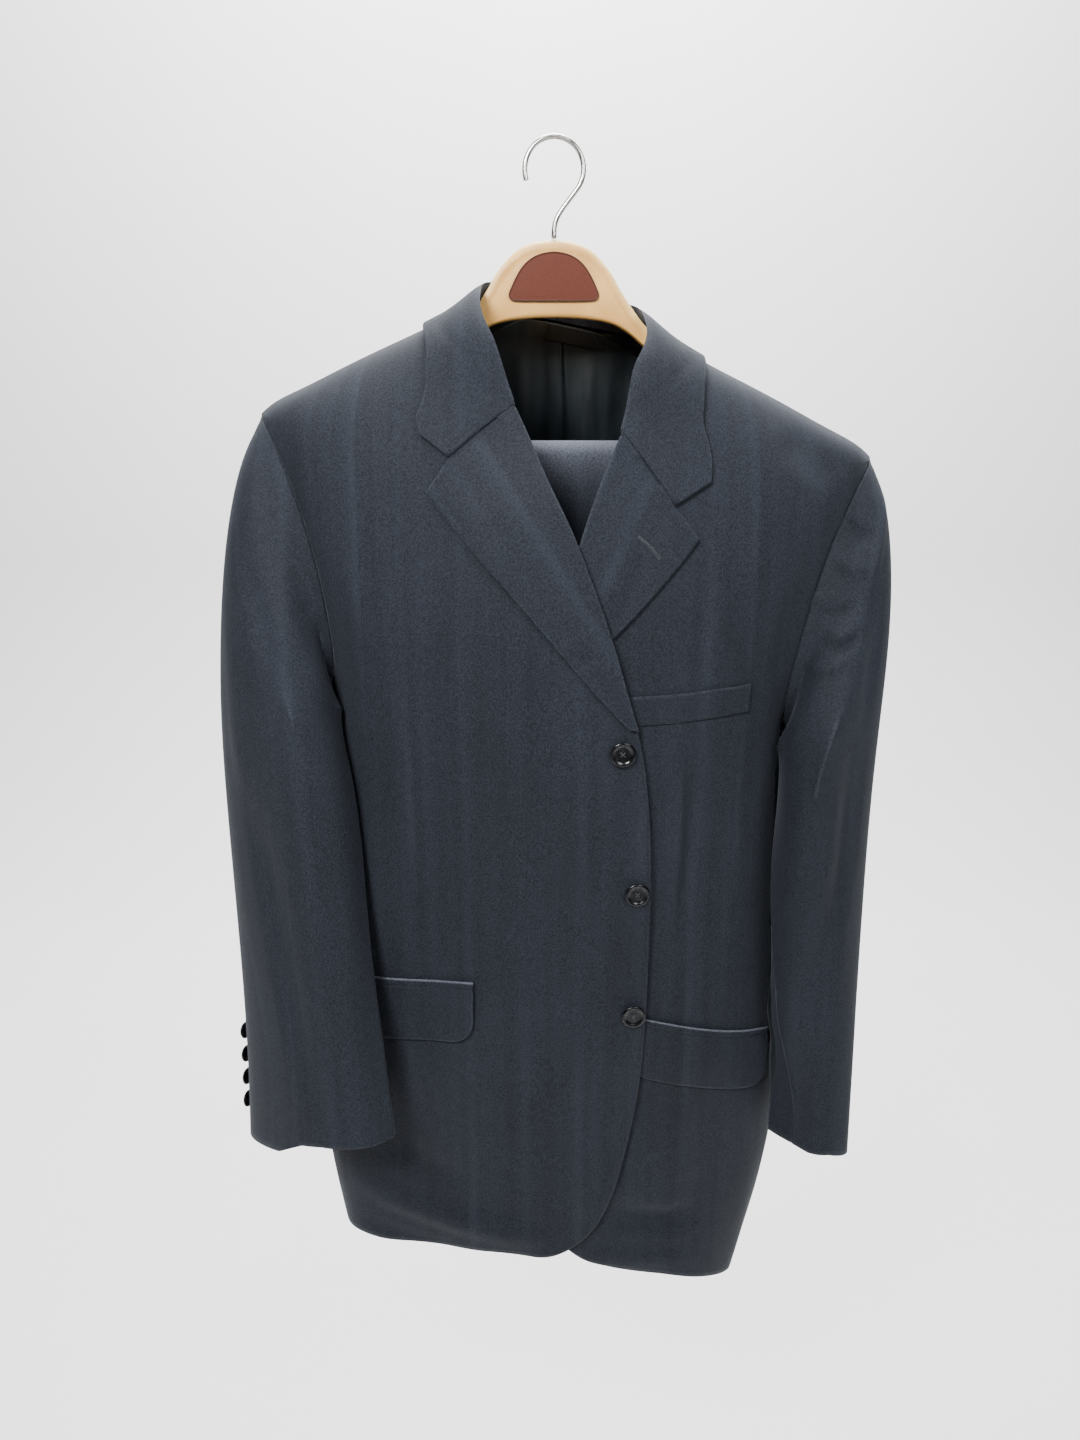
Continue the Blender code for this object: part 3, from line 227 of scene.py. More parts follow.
def smooth(value: np.ndarray) -> np.ndarray:
    """Ease an array from 0 to 1 with level ends.

    Args:
        value: Numbers, 0 at the start of the ease and 1 at its end.

    Returns:
        The eased numbers, held between 0 and 1.
    """
    held = np.clip(value, 0.0, 1.0)
    return held * held * (3.0 - 2.0 * held)


def run_along(points: np.ndarray, path: Path) -> tuple[np.ndarray, np.ndarray]:
    """Measure points against a path.

    Args:
        points: Rows of (x, z) in metres.
        path: The path's points, in millimetres.

    Returns:
        Each point's distance from the path in metres, and its share of the way along it.
    """
    spots = np.array(path, float) * MM
    lengths = np.linalg.norm(np.diff(spots, axis=0), axis=1)
    total = lengths.sum()
    nearest = np.full(len(points), np.inf)
    share = np.zeros(len(points))
    before = 0.0
    for start, end, length in zip(spots, spots[1:], lengths):
        way = (end - start) / length
        along = (points - start) @ way
        if before > 0:
            along = np.maximum(along, 0.0)
        if before + length < total - 1e-9:
            along = np.minimum(along, length)
        gap = np.linalg.norm(points - start - np.outer(along, way), axis=1)
        closer = gap < nearest
        nearest = np.where(closer, gap, nearest)
        share = np.where(closer, (before + along) / total, share)
        before += length
    return nearest, share


@dataclass(frozen=True)
class CentreLine:
    """The middle of a hollow form at each height, measured on its solids.

    Attributes:
        heights: Heights from low to high.
        x: The middle's x at each height.
        y: The middle's y at each height.
        half_x: Half the form's width at each height.
        half_y: Half the form's depth at each height.
    """

    heights: np.ndarray
    x: np.ndarray
    y: np.ndarray
    half_x: np.ndarray
    half_y: np.ndarray

    @staticmethod
    def of(nodes: tuple[str, ...], step: float = 0.03) -> "CentreLine":
        """Measure the line through the named nodes.

        Args:
            nodes: The solids that wrap the form.
            step: Distance between the measured heights.

        Returns:
            The line.
        """
        rows = [np.array([v.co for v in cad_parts[n].data.vertices]) for n in nodes]
        spots = np.concatenate(rows)
        low, high = spots[:, 2].min(), spots[:, 2].max()
        heights = np.arange(low + step, high - step, step)
        found = []
        for height in heights:
            near = spots[np.abs(spots[:, 2] - height) < 1.3 * step]
            lows, highs = near.min(0), near.max(0)
            found.append([*((lows + highs) / 2)[:2], *((highs - lows) / 2)[:2]])
        table = np.array(found)
        kernel = np.array([0.25, 0.5, 0.25])
        for _ in range(2):
            padded = np.pad(table, ((1, 1), (0, 0)), mode="edge")
            table = sum(k * padded[i : i + len(table)] for i, k in enumerate(kernel))
        return CentreLine(heights, *table.T)

    def at(self, z: np.ndarray) -> tuple[np.ndarray, np.ndarray, np.ndarray, np.ndarray]:
        """The middle's x and y, and the half width and depth, at some heights."""
        tables = (self.x, self.y, self.half_x, self.half_y)
        return tuple(np.interp(z, self.heights, table) for table in tables)

    def outward(self, points: np.ndarray) -> np.ndarray:
        """The level direction out of the form at each point.

        Args:
            points: Rows of x, y, z.

        Returns:
            Rows of unit directions, with no part along Z.
        """
        x, y, wide, deep = self.at(points[:, 2])
        away = np.stack([(points[:, 0] - x) / wide**2, (points[:, 1] - y) / deep**2], axis=1)
        size = np.linalg.norm(away, axis=1, keepdims=True)
        return np.hstack([away / np.maximum(size, 1e-9), np.zeros((len(points), 1))])

    def wrap(self, points: np.ndarray) -> np.ndarray:
        """Distance round the form from its front, and height, for each point.

        Args:
            points: Rows of x, y, z.

        Returns:
            Rows of (round, height) in metres.
        """
        x, y, wide, deep = self.at(points[:, 2])
        across = np.abs(points[:, 0] - x) / wide
        ahead = -(points[:, 1] - y) / deep
        turn = np.arctan2(across, ahead)
        steps = np.linspace(0, math.pi, 121)
        legs = np.hypot(np.diff(np.sin(steps)), 0.55 * np.diff(np.cos(steps)))
        arc = np.concatenate([[0.0], np.cumsum(legs)])
        round_it = np.interp(turn, steps, arc) * wide * np.sign(points[:, 0] - x)
        return np.stack([round_it, points[:, 2]], axis=1)

    def spread_flat(self, points: np.ndarray) -> np.ndarray:
        """Distance across a broad form and height, so that stripes hang straight on it.

        Args:
            points: Rows of x, y, z.

        Returns:
            Rows of (across, height) in metres.
        """
        _, y, _, deep = self.at(points[:, 2])
        away = np.abs(points[:, 0])
        turned = np.maximum(deep - np.abs(points[:, 1] - y), 0.0)
        more = 0.6 * turned * smooth((away - 100 * MM) / (80 * MM))
        return np.stack([points[:, 0] + np.sign(points[:, 0]) * more, points[:, 2]], axis=1)


LINES: dict[Region, CentreLine] = {
    Region.BODY: CentreLine.of(
        ("front_left", "front_right", "side_left", "side_right", "back_left", "back_right")
    ),
    Region.SLEEVE_LEFT: CentreLine.of(("sleeve_left_top", "sleeve_left_under")),
    Region.SLEEVE_RIGHT: CentreLine.of(("sleeve_right_top", "sleeve_right_under")),
    Region.TROUSERS: CentreLine.of(("trouser_leg_left", "trouser_leg_right")),
}


def crease_push(points: np.ndarray, region: Region, creases: tuple[Crease, ...]) -> np.ndarray:
    """How far the creases move each point out of the form.

    Args:
        points: Rows of x, y, z.
        region: The form that the piece wraps.
        creases: The creases to lay.

    Returns:
        A distance for each point, in metres.
    """
    away = LINES[region].outward(points)
    flat = points[:, [0, 2]]
    push = np.zeros(len(points))
    for crease in creases:
        if crease.region is not region:
            continue
        gap, share = run_along(flat, crease.path)
        across = np.cos(np.clip(gap / (crease.half_width * MM), 0, 1) * math.pi / 2) ** 2
        ends = smooth(share / crease.fade) * smooth((1 - share) / crease.fade)
        facing = smooth(away[:, 1] * crease.face.value * 2.2)
        push += crease.depth * MM * across * ends * facing
    return push


def hem_drop(points: np.ndarray, hang: Path, reach: float = 0.085) -> np.ndarray:
    """How far a sleeve's lower edge is lifted or dropped at each point.

    Args:
        points: Rows of x, y, z.
        hang: Places across, as (x, lift) in millimetres.
        reach: The height above the edge at which the change has faded out.

    Returns:
        A height to add to each point.
    """
    table = np.array(hang, float) * MM
    lift = np.interp(points[:, 0], table[:, 0], table[:, 1])
    return lift * smooth(1 - (points[:, 2] - points[:, 2].min()) / reach)


def cuff_draw(points: np.ndarray, draw: float = 13.0 * MM) -> np.ndarray:
    """How far the inner side of the left sleeve's lower end is drawn away from the body.

    Args:
        points: Rows of x, y, z.
        draw: The greatest distance.

    Returns:
        A distance to add to each point's x.
    """
    low = smooth((-680 * MM - points[:, 2]) / (100 * MM))
    inner = smooth((236 * MM - points[:, 0]) / (50 * MM))
    return draw * low * inner


def fine_ripple(points: np.ndarray, size: float, amount: float) -> np.ndarray:
    """A slow unevenness that hanging cloth has everywhere.

    Args:
        points: Rows of x, y, z.
        size: Rough distance between its crests.
        amount: Its greatest height.

    Returns:
        A distance for each point.
    """
    x, y, z = (points / size).T
    waves = np.sin(2.1 * x + 0.7 * z + 0.4) * np.sin(1.3 * z - 0.5 * y + 1.1)
    waves += 0.6 * np.sin(3.7 * x - 1.1 * z + 2.0) * np.sin(2.3 * y + 0.6 * z)
    return amount * waves / 1.6


class Nodes:
    """A short way to write a material's node tree."""

    def __init__(self, name: str) -> None:
        """Start an empty surface.

        Args:
            name: The material's name.
        """
        self.material = bpy.data.materials.new(name)
        self.material.use_nodes = True
        self.tree = self.material.node_tree
        self.shader = self.tree.nodes["Principled BSDF"]

    def add(self, kind: str, **values: object) -> bpy.types.Node:
        """Add a node and set its properties.

        Args:
            kind: The node's type, without the leading words.
            **values: Properties to set.

        Returns:
            The node.
        """
        node = self.tree.nodes.new("ShaderNode" + kind)
        for key, value in values.items():
            setattr(node, key, value)
        return node

    def link(self, start: bpy.types.NodeSocket, end: bpy.types.NodeSocket) -> None:
        """Join two sockets."""
        self.tree.links.new(start, end)

    def put(self, **values: object) -> None:
        """Set plain values on the shader, by socket name with _ for a space."""
        for key, value in values.items():
            self.shader.inputs[key.replace("_", " ")].default_value = value

    def coordinate(self, kind: str, scale: tuple[float, float, float]) -> bpy.types.NodeSocket:
        """A texture coordinate, scaled.

        Args:
            kind: UV or Object.
            scale: Repeats for each metre, along each axis.

        Returns:
            The scaled vector's socket.
        """
        source = self.add("TexCoord")
        mapping = self.add("Mapping")
        mapping.inputs["Scale"].default_value = scale
        self.link(source.outputs[kind], mapping.inputs["Vector"])
        return mapping.outputs["Vector"]

    def noise(self, where: bpy.types.NodeSocket, detail: float = 2.0) -> bpy.types.NodeSocket:
        """A noise value from 0 to 1 at a coordinate.

        Args:
            where: The scaled coordinate's socket.
            detail: How many finer layers it has.

        Returns:
            The value's socket.
        """
        node = self.add("TexNoise")
        node.inputs["Scale"].default_value = 1.0
        node.inputs["Detail"].default_value = detail
        self.link(where, node.inputs["Vector"])
        return node.outputs["Fac"]

    def spread(
        self, value: bpy.types.NodeSocket, low: float, high: float, start: float, end: float
    ) -> bpy.types.NodeSocket:
        """Map a value from one range to another, held at its ends.

        Args:
            value: The value's socket.
            low: Where the first range starts.
            high: Where the first range ends.
            start: The result at low.
            end: The result at high.

        Returns:
            The mapped value's socket.
        """
        node = self.add("MapRange")
        for name, number in (("From Min", low), ("From Max", high), ("To Min", start), ("To Max", end)):
            node.inputs[name].default_value = number
        self.link(value, node.inputs["Value"])
        return node.outputs["Result"]

    def math(self, kind: str, a: object, b: object) -> bpy.types.NodeSocket:
        """Arithmetic on two values.

        Args:
            kind: The operation.
            a: A socket or a number.
            b: A socket or a number.

        Returns:
            The result's socket.
        """
        node = self.add("Math", operation=kind)
        for socket, value in zip(node.inputs, (a, b)):
            if isinstance(value, bpy.types.NodeSocket):
                self.link(value, socket)
            else:
                socket.default_value = value
        return node.outputs[0]

    def blend(
        self, share: bpy.types.NodeSocket, first: object, second: object
    ) -> bpy.types.NodeSocket:
        """Mix two colours.

        Args:
            share: The socket of the second colour's share.
            first: A socket or three numbers.
            second: A socket or three numbers.

        Returns:
            The colour's socket.
        """
        node = self.add("Mix", data_type="RGBA")
        self.link(share, node.inputs["Factor"])
        for socket, value in ((node.inputs[6], first), (node.inputs[7], second)):
            if isinstance(value, bpy.types.NodeSocket):
                self.link(value, socket)
            else:
                socket.default_value = (*value, 1.0)
        return node.outputs[2]

    def bump(self, height: bpy.types.NodeSocket, strength: float, distance: float) -> None:
        """Raise the surface by a height.

        Args:
            height: The height's socket, from 0 to 1.
            strength: How much of the bump shows.
            distance: The height that 1 stands for, in metres.
        """
        node = self.add("Bump")
        node.inputs["Strength"].default_value = strength
        node.inputs["Distance"].default_value = distance
        self.link(height, node.inputs["Height"])
        self.link(node.outputs["Normal"], self.shader.inputs["Normal"])


@dataclass(frozen=True)
class WorstedFinish:
    """Dark worsted with soft tonal stripes, a fine nap and slightly lighter edges, part wear and part
    painted highlight; also a painted gleam on lit top edges and painted shade along the seams.
    """

    name: str = "worsted"
    dark: tuple[float, float, float] = (0.0062, 0.0078, 0.0118)
    light: tuple[float, float, float] = (0.0215, 0.0258, 0.0360)
    # Lighter colour of the free edges: part worn cloth, part painted highlight.
    worn_and_lit_edge: tuple[float, float, float] = (0.0640, 0.0730, 0.0900)
    # gleam is the colour of the painted highlight on top edges that catch the light.
    gleam: tuple[float, float, float] = (0.1500, 0.1620, 0.2000)
    stripe_step: float = 0.046

    def build(self) -> bpy.types.Material:
        """Make the material.

        Returns:
            The finished material.
        """
        n = Nodes(self.name)
        cloud = n.noise(n.coordinate("UV", (11.0, 5.0, 9.0)), 3.0)
        tone = n.spread(cloud, 0.3, 0.7, 0.0, 0.42)
        tone = n.math("ADD", tone, self.streaks(n))
        nap = n.noise(n.coordinate("Object", (950.0, 950.0, 700.0)), 3.0)
        tone = n.math("ADD", tone, n.spread(nap, 0.36, 0.66, -0.34, 0.58))
        body = n.blend(n.spread(tone, 0.0, 1.25, 0.0, 1.0), self.dark, self.light)
        # Free edges are painted lighter: part worn cloth, part painted highlight where the rounded rims
        # catch the light.
        edge = n.add("Attribute", attribute_name="edge")
        edge_wear_and_highlight = n.spread(edge.outputs["Fac"], 0.0002, 0.0022, 0.20, 0.0)
        edge_wear_and_highlight = n.math("MULTIPLY", edge_wear_and_highlight, n.spread(nap, 0.4, 0.62, 0.25, 1.0))
        body = n.blend(edge_wear_and_highlight, body, self.worn_and_lit_edge)
        # Painted highlight: top edges that catch the light (jets, the trousers' fold over the bar) are
        # painted towards the gleam colour.
        lit = n.add("Attribute", attribute_name="lit")
        painted_gleam = n.math("MULTIPLY", lit.outputs["Fac"], n.spread(nap, 0.36, 0.62, 0.5, 1.0))
        body = n.blend(painted_gleam, body, self.gleam)
        # Painted shade: the cloth is darkened within a millimetre of each sewn seam, as shade in its
        # groove.
        seam = n.add("Attribute", attribute_name="seam")
        sunk = n.spread(seam.outputs["Fac"], 0.0002, 0.0010, 0.3, 0.0)
        body = n.blend(sunk, body, tuple(0.35 * c for c in self.dark))
        n.link(body, n.shader.inputs["Base Color"])
        n.bump(self.weave(n, nap, seam.outputs["Fac"]), 0.6, 0.0004)
        n.link(n.spread(cloud, 0.3, 0.7, 0.72, 0.84), n.shader.inputs["Roughness"])
        n.put(Sheen_Weight=0.05, Sheen_Roughness=0.45, Specular_IOR_Level=0.18)
        n.put(Sheen_Tint=(0.80, 0.87, 1.0, 1.0))
        return n.material

    def streaks(self, n: Nodes) -> bpy.types.NodeSocket:
        """The lighter streaks and tonal stripes that run down the cloth.

        Args:
            n: The tree being written.

        Returns:
            The streaks' value.
        """
        streak = n.noise(n.coordinate("UV", (70.0, 1.6, 1.0)), 3.0)
        where = n.add("SeparateXYZ")
        n.link(n.coordinate("UV", (1.0 / self.stripe_step, 1.0, 1.0)), where.inputs[0])
        turn = n.math("MULTIPLY", where.outputs[0], math.pi)
        wave = n.math("ABSOLUTE", n.math("SINE", turn, 0), 0)
        stripe = n.spread(wave, 0.93, 1.0, 0.0, 1.0)
        broken = n.spread(n.noise(n.coordinate("UV", (30.0, 5.0, 1.0)), 2.0), 0.38, 0.66, 0.1, 1.0)
        stripe = n.math("MULTIPLY", n.math("MULTIPLY", stripe, broken), 0.30)
        return n.math("ADD", n.spread(streak, 0.3, 0.7, 0.0, 0.26), stripe)

    def weave(
        self, n: Nodes, nap: bpy.types.NodeSocket, seam: bpy.types.NodeSocket
    ) -> bpy.types.NodeSocket:
        """The height of the twill, the nap and the sunk seams.

        Args:
            n: The tree being written.
            nap: The nap's value.
            seam: Distance from the nearest seam.

        Returns:
            The height's value.
        """
        parts = n.add("SeparateXYZ")
        n.link(n.coordinate("UV", (1.0, 1.0, 1.0)), parts.inputs[0])
        across = n.math("MULTIPLY", parts.outputs[0], 5200.0)
        down = n.math("MULTIPLY", parts.outputs[1], 3900.0)
        ribs = n.spread(n.math("SINE", n.math("ADD", across, down), 0), -1.0, 1.0, 0.0, 0.3)
        dip = n.spread(seam, 0.0, 0.0016, -0.9, 0.0)
        return n.math("ADD", n.math("ADD", ribs, nap), dip)


@dataclass(frozen=True)
class SatinFinish:
    """Near black lining satin, with a long soft gleam down its folds."""

    name: str = "lining_satin"
    dark: tuple[float, float, float] = (0.0018, 0.0030, 0.0038)
    light: tuple[float, float, float] = (0.0110, 0.0155, 0.0180)

    def build(self) -> bpy.types.Material:
        """Make the material.

        Returns:
            The finished material.
        """
        n = Nodes(self.name)
        streak = n.noise(n.coordinate("UV", (60.0, 7.0, 1.0)), 3.0)
        colour = n.blend(n.spread(streak, 0.3, 0.7, 0.0, 1.0), self.dark, self.light)
        n.link(colour, n.shader.inputs["Base Color"])
        n.link(n.spread(streak, 0.3, 0.7, 0.34, 0.48), n.shader.inputs["Roughness"])
        weave = n.noise(n.coordinate("UV", (900.0, 2600.0, 1.0)), 1.0)
        n.bump(weave, 0.25, 0.0002)
        n.put(Sheen_Weight=0.05, Sheen_Roughness=0.3, Specular_IOR_Level=0.35)
        return n.material


@dataclass(frozen=True)
class HornFinish:
    """Dark polished button horn, cloudy and a little scratched."""

    name: str = "button_horn"
    dark: tuple[float, float, float] = (0.0012, 0.0015, 0.0020)
    light: tuple[float, float, float] = (0.0070, 0.0080, 0.0100)

    def build(self) -> bpy.types.Material:
        """Make the material.

        Returns:
            The finished material.
        """
        n = Nodes(self.name)
        cloud = n.noise(n.coordinate("Object", (210.0, 60.0, 160.0)), 4.0)
        colour = n.blend(n.spread(cloud, 0.42, 0.7, 0.0, 1.0), self.dark, self.light)
        n.link(colour, n.shader.inputs["Base Color"])
        n.link(n.spread(cloud, 0.3, 0.7, 0.16, 0.32), n.shader.inputs["Roughness"])
        scratch = n.noise(n.coordinate("Object", (2400.0, 2400.0, 300.0)), 2.0)
        n.bump(scratch, 0.12, 0.0001)
        n.put(Specular_IOR_Level=0.3, Coat_Weight=0.15, Coat_Roughness=0.12)
        return n.material


@dataclass(frozen=True)
class ThreadFinish:
    """Sewing thread: twisted, matt, a little lighter than the cloth."""

    name: str = "thread"
    dark: tuple[float, float, float] = (0.0100, 0.0125, 0.0170)
    light: tuple[float, float, float] = (0.0380, 0.0430, 0.0540)

    def build(self) -> bpy.types.Material:
        """Make the material.

        Returns:
            The finished material.
        """
        n = Nodes(self.name)
        twist = n.noise(n.coordinate("Object", (1800.0, 900.0, 2600.0)), 2.0)
        colour = n.blend(n.spread(twist, 0.35, 0.65, 0.0, 1.0), self.dark, self.light)
        n.link(colour, n.shader.inputs["Base Color"])
        n.bump(twist, 0.5, 0.0002)
        n.put(Roughness=0.7, Sheen_Weight=0.1)
        return n.material


@dataclass(frozen=True)
class MouldingFinish:
    """Cream tan moulded plastic: faintly grained, painted paler along its top rim as a highlight."""

    name: str = "moulding"
    low: tuple[float, float, float] = (0.540, 0.260, 0.062)
    high: tuple[float, float, float] = (0.840, 0.480, 0.135)
    # rim is the paler colour of the painted highlight along the top.
    rim: tuple[float, float, float] = (0.930, 0.640, 0.250)

    def build(self) -> bpy.types.Material:
        """Make the material.

        Returns:
            The finished material.
        """
        n = Nodes(self.name)
        cloud = n.noise(n.coordinate("Object", (26.0, 26.0, 26.0)), 4.0)
        colour = n.blend(n.spread(cloud, 0.3, 0.7, 0.25, 0.95), self.low, self.high)
        # Painted highlight: the top rim is painted paler where the light falls on it.
        edge = n.add("Attribute", attribute_name="edge")
        pale = n.spread(edge.outputs["Fac"], 0.0020, 0.0048, 0.7, 0.0)
        colour = n.blend(pale, colour, self.rim)
        fleck = n.noise(n.coordinate("Object", (900.0, 900.0, 900.0)), 2.0)
        colour = n.blend(n.spread(fleck, 0.5, 0.8, 0.0, 0.35), colour, self.low)
        n.link(colour, n.shader.inputs["Base Color"])
        n.link(n.spread(cloud, 0.3, 0.7, 0.40, 0.52), n.shader.inputs["Roughness"])
        n.bump(fleck, 0.25, 0.0003)
        n.put(Coat_Weight=0.12, Coat_Roughness=0.3)
        return n.material


@dataclass(frozen=True)
class InsetFinish:
    """The bare brown panel on the crown: a fine even grain, with painted shade darkening its sunk border.
    """

    name: str = "inset"
    dark: tuple[float, float, float] = (0.072, 0.0120, 0.0030)
    light: tuple[float, float, float] = (0.104, 0.0185, 0.0048)

    def build(self) -> bpy.types.Material:
        """Make the material.

        Returns:
            The finished material.
        """
        n = Nodes(self.name)
        grain = n.noise(n.coordinate("Object", (1400.0, 1400.0, 1400.0)), 3.0)
        colour = n.blend(n.spread(grain, 0.35, 0.65, 0.0, 1.0), self.dark, self.light)
        # Painted shade: the panel darkens near its outline, as shade in the sunk border.
        edge = n.add("Attribute", attribute_name="edge")
        border = n.spread(edge.outputs["Fac"], 0.0003, 0.0016, 0.8, 0.0)
        colour = n.blend(border, colour, tuple(0.3 * c for c in self.dark))
        n.link(colour, n.shader.inputs["Base Color"])
        n.bump(grain, 0.4, 0.0003)
        n.put(Roughness=0.6, Specular_IOR_Level=0.3)
        return n.material


@dataclass(frozen=True)
class WireFinish:
    """Bright plated wire, with faint drawn lines and dull spots."""

    name: str = "wire"

    def build(self) -> bpy.types.Material:
        """Make the material.

        Returns:
            The finished material.
        """
        n = Nodes(self.name)
        spots = n.noise(n.coordinate("Object", (150.0, 150.0, 150.0)), 4.0)
        colour = n.blend(n.spread(spots, 0.35, 0.7, 0.0, 1.0), (0.72, 0.71, 0.68), (0.50, 0.48, 0.45))
        n.link(colour, n.shader.inputs["Base Color"])
        n.link(n.spread(spots, 0.3, 0.7, 0.14, 0.34), n.shader.inputs["Roughness"])
        lines = n.noise(n.coordinate("Object", (2200.0, 2200.0, 120.0)), 1.0)
        n.bump(lines, 0.2, 0.0001)
        n.put(Metallic=1.0)
        return n.material


@dataclass(frozen=True)
class LabelFinish:
    """A bare damask label: near black, with fine ribs across it."""

    name: str = "label_damask"

    def build(self) -> bpy.types.Material:
        """Make the material.

        Returns:
            The finished material.
        """
        n = Nodes(self.name)
        ribs = n.noise(n.coordinate("Object", (500.0, 500.0, 3200.0)), 1.0)
        colour = n.blend(n.spread(ribs, 0.3, 0.7, 0.0, 1.0), (0.002, 0.003, 0.0035), (0.010, 0.012, 0.014))
        n.link(colour, n.shader.inputs["Base Color"])
        n.bump(ribs, 0.4, 0.0003)
        n.put(Roughness=0.6, Sheen_Weight=0.05, Specular_IOR_Level=0.25)
        return n.material


@dataclass(frozen=True)
class FloorFinish:
    """The plain pale floor and backdrop."""

    name: str = "floor_paper"

    def build(self) -> bpy.types.Material:
        """Make the material.

        Returns:
            The finished material.
        """
        n = Nodes(self.name)
        cloud = n.noise(n.coordinate("Object", (3.0, 3.0, 3.0)), 2.0)
        colour = n.blend(cloud, (0.86, 0.86, 0.86), (0.90, 0.90, 0.90))
        n.link(colour, n.shader.inputs["Base Color"])
        n.put(Roughness=0.9)
        return n.material


class Finishes:
    """Every finish, made once."""

    def __init__(self) -> None:
        """Build the materials."""
        self.cloth = WorstedFinish().build()
        self.satin = SatinFinish().build()
        self.horn = HornFinish().build()
        self.thread = ThreadFinish().build()
        self.moulding = MouldingFinish().build()
        self.inset = InsetFinish().build()
        self.wire = WireFinish().build()
        self.label = LabelFinish().build()
        self.floor = FloorFinish().build()


def merged(node: str) -> bmesh.types.BMesh:
    """A node's mesh with its loose triangles joined back into four-sided faces.

    Args:
        node: The solid's name.

    Returns:
        A new bmesh.
    """
    mesh = bmesh.new()
    mesh.from_mesh(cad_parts[node].data)
    bmesh.ops.remove_doubles(mesh, verts=mesh.verts, dist=0.01 * MM)
    bmesh.ops.join_triangles(
        mesh,
        faces=mesh.faces,
        angle_face_threshold=math.radians(60),
        angle_shape_threshold=math.pi,
    )
    return mesh


def points_of(mesh: bpy.types.Mesh) -> np.ndarray:
    """A mesh's points as rows of x, y, z."""
    spots = np.empty(len(mesh.vertices) * 3)
    mesh.vertices.foreach_get("co", spots)
    return spots.reshape(-1, 3)


def new_piece(name: str, mesh: bmesh.types.BMesh) -> bpy.types.Object:
    """Turn a finished bmesh into a named object at the origin.

    Args:
        name: The piece's name.
        mesh: Its shape, freed here.

    Returns:
        The object.
    """
    data = bpy.data.meshes.new(name)
    mesh.to_mesh(data)
    mesh.free()
    piece = bpy.data.objects.new(name, data)
    bpy.context.scene.collection.objects.link(piece)
    return piece


def subdivided(piece: bpy.types.Object, levels: int) -> None:
    """Round a piece by subdivision, keeping its marked edges, and make the result its mesh.

    Args:
        piece: The object.
        levels: How many times each face is split.
    """
    rounder = piece.modifiers.new("rounder", "SUBSURF")
    rounder.levels = levels
    rounder.render_levels = levels
    rounder.boundary_smooth = "PRESERVE_CORNERS"
    graph = bpy.context.evaluated_depsgraph_get()
    fine = bpy.data.meshes.new_from_object(piece.evaluated_get(graph))
    piece.modifiers.clear()
    coarse = piece.data
    piece.data = fine
    fine.name = piece.name
    bpy.data.meshes.remove(coarse)


def mark_rims(mesh: bmesh.types.BMesh, hold: float = 1.0, corner: float = 28.0) -> None:
    """Mark the edges that keep their place when the mesh is rounded.

    Args:
        mesh: The shape.
        hold: How firmly a rim keeps its place, up to 1.
        corner: The turn of an outline past which its corner stays sharp, in degrees.
    """
    layer = mesh.edges.layers.float.new("crease_edge")
    for edge in mesh.edges:
        if len(edge.link_faces) != 2:
            continue
        turn = math.degrees(edge.calc_face_angle())
        if turn > 55 or (turn > corner and edge.calc_length() < 3.2 * MM):
            edge[layer] = hold


def move_points(piece: bpy.types.Object, points: np.ndarray) -> None:
    """Put a piece's points in new places."""
    piece.data.vertices.foreach_set("co", points.ravel())
    piece.data.update()


def tree_of(spots: np.ndarray) -> KDTree:
    """Make a search tree over points.

    Args:
        spots: Rows of x, y, z.

    Returns:
        The tree, ready to search.
    """
    tree = KDTree(len(spots))
    for index, spot in enumerate(spots):
        tree.insert(spot, index)
    tree.balance()
    return tree


def top_outline(points: np.ndarray) -> tuple[np.ndarray, np.ndarray]:
    """The highest point in each narrow band across a form.

    Args:
        points: Rows of x, y, z.

    Returns:
        The bands' x and the heights.
    """
    bins = np.round(points[:, 0] / BAND).astype(int)
    levels = np.unique(bins)
    tops = np.array([points[bins == level, 2].max() for level in levels])
    return levels * BAND, tops


def rod(
    mesh: bmesh.types.BMesh, sides: int, radii: tuple[float, float], depth: float, where: Matrix
) -> None:
    """Add a capped rod to a mesh.

    Args:
        mesh: The shape, changed here.
        sides: How many sides it has.
        radii: Half its width at its two ends.
        depth: Its length.
        where: Its place.
    """
    bmesh.ops.create_cone(
        mesh,
        cap_ends=True,
        segments=sides,
        radius1=radii[0],
        radius2=radii[1],
        depth=depth,
        matrix=where,
    )


def rim_distance(points: np.ndarray, rim: np.ndarray) -> np.ndarray:
    """Each point's distance from the nearest rim point.

    Args:
        points: Rows of x, y, z.
        rim: Rows of x, y, z along the rims.

    Returns:
        A distance for each point.
    """
    tree = tree_of(rim)
    return np.array([tree.find(spot)[2] for spot in points])


def outline_of(rows: np.ndarray, count: int = 400) -> np.ndarray:
    """Points along the outline of a flat bulging shape.

    Args:
        rows: Rows of x, y, z, flat along Y.
        count: How many points to lay along it.

    Returns:
        Rows of x, y, z.
    """
    turns = convex_hull_2d([tuple(row) for row in rows[:, [0, 2]]])
    ring = rows[turns + turns[:1]]
    legs = np.linalg.norm(np.diff(ring, axis=0), axis=1)
    along = np.concatenate([[0.0], np.cumsum(legs)])
    spots = np.linspace(0, along[-1], count)
    return np.stack([np.interp(spots, along, ring[:, k]) for k in range(3)], axis=1)


def store(mesh: bpy.types.Mesh, name: str, values: np.ndarray) -> None:
    """Keep a number for each point under a name that a material can read."""
    layer = mesh.attributes.new(name, "FLOAT", "POINT")
    layer.data.foreach_set("value", values.astype(np.float32))


def lay_map(mesh: bpy.types.Mesh, flat: np.ndarray) -> None:
    """Give a mesh a UV map in metres.

    Args:
        mesh: The mesh.
        flat: Rows of (across, along), one for each point.
    """
    layer = mesh.uv_layers.new(name="grain")
    corners = np.empty(len(mesh.loops), int)
    mesh.loops.foreach_get("vertex_index", corners)
    layer.data.foreach_set("uv", flat[corners].ravel())


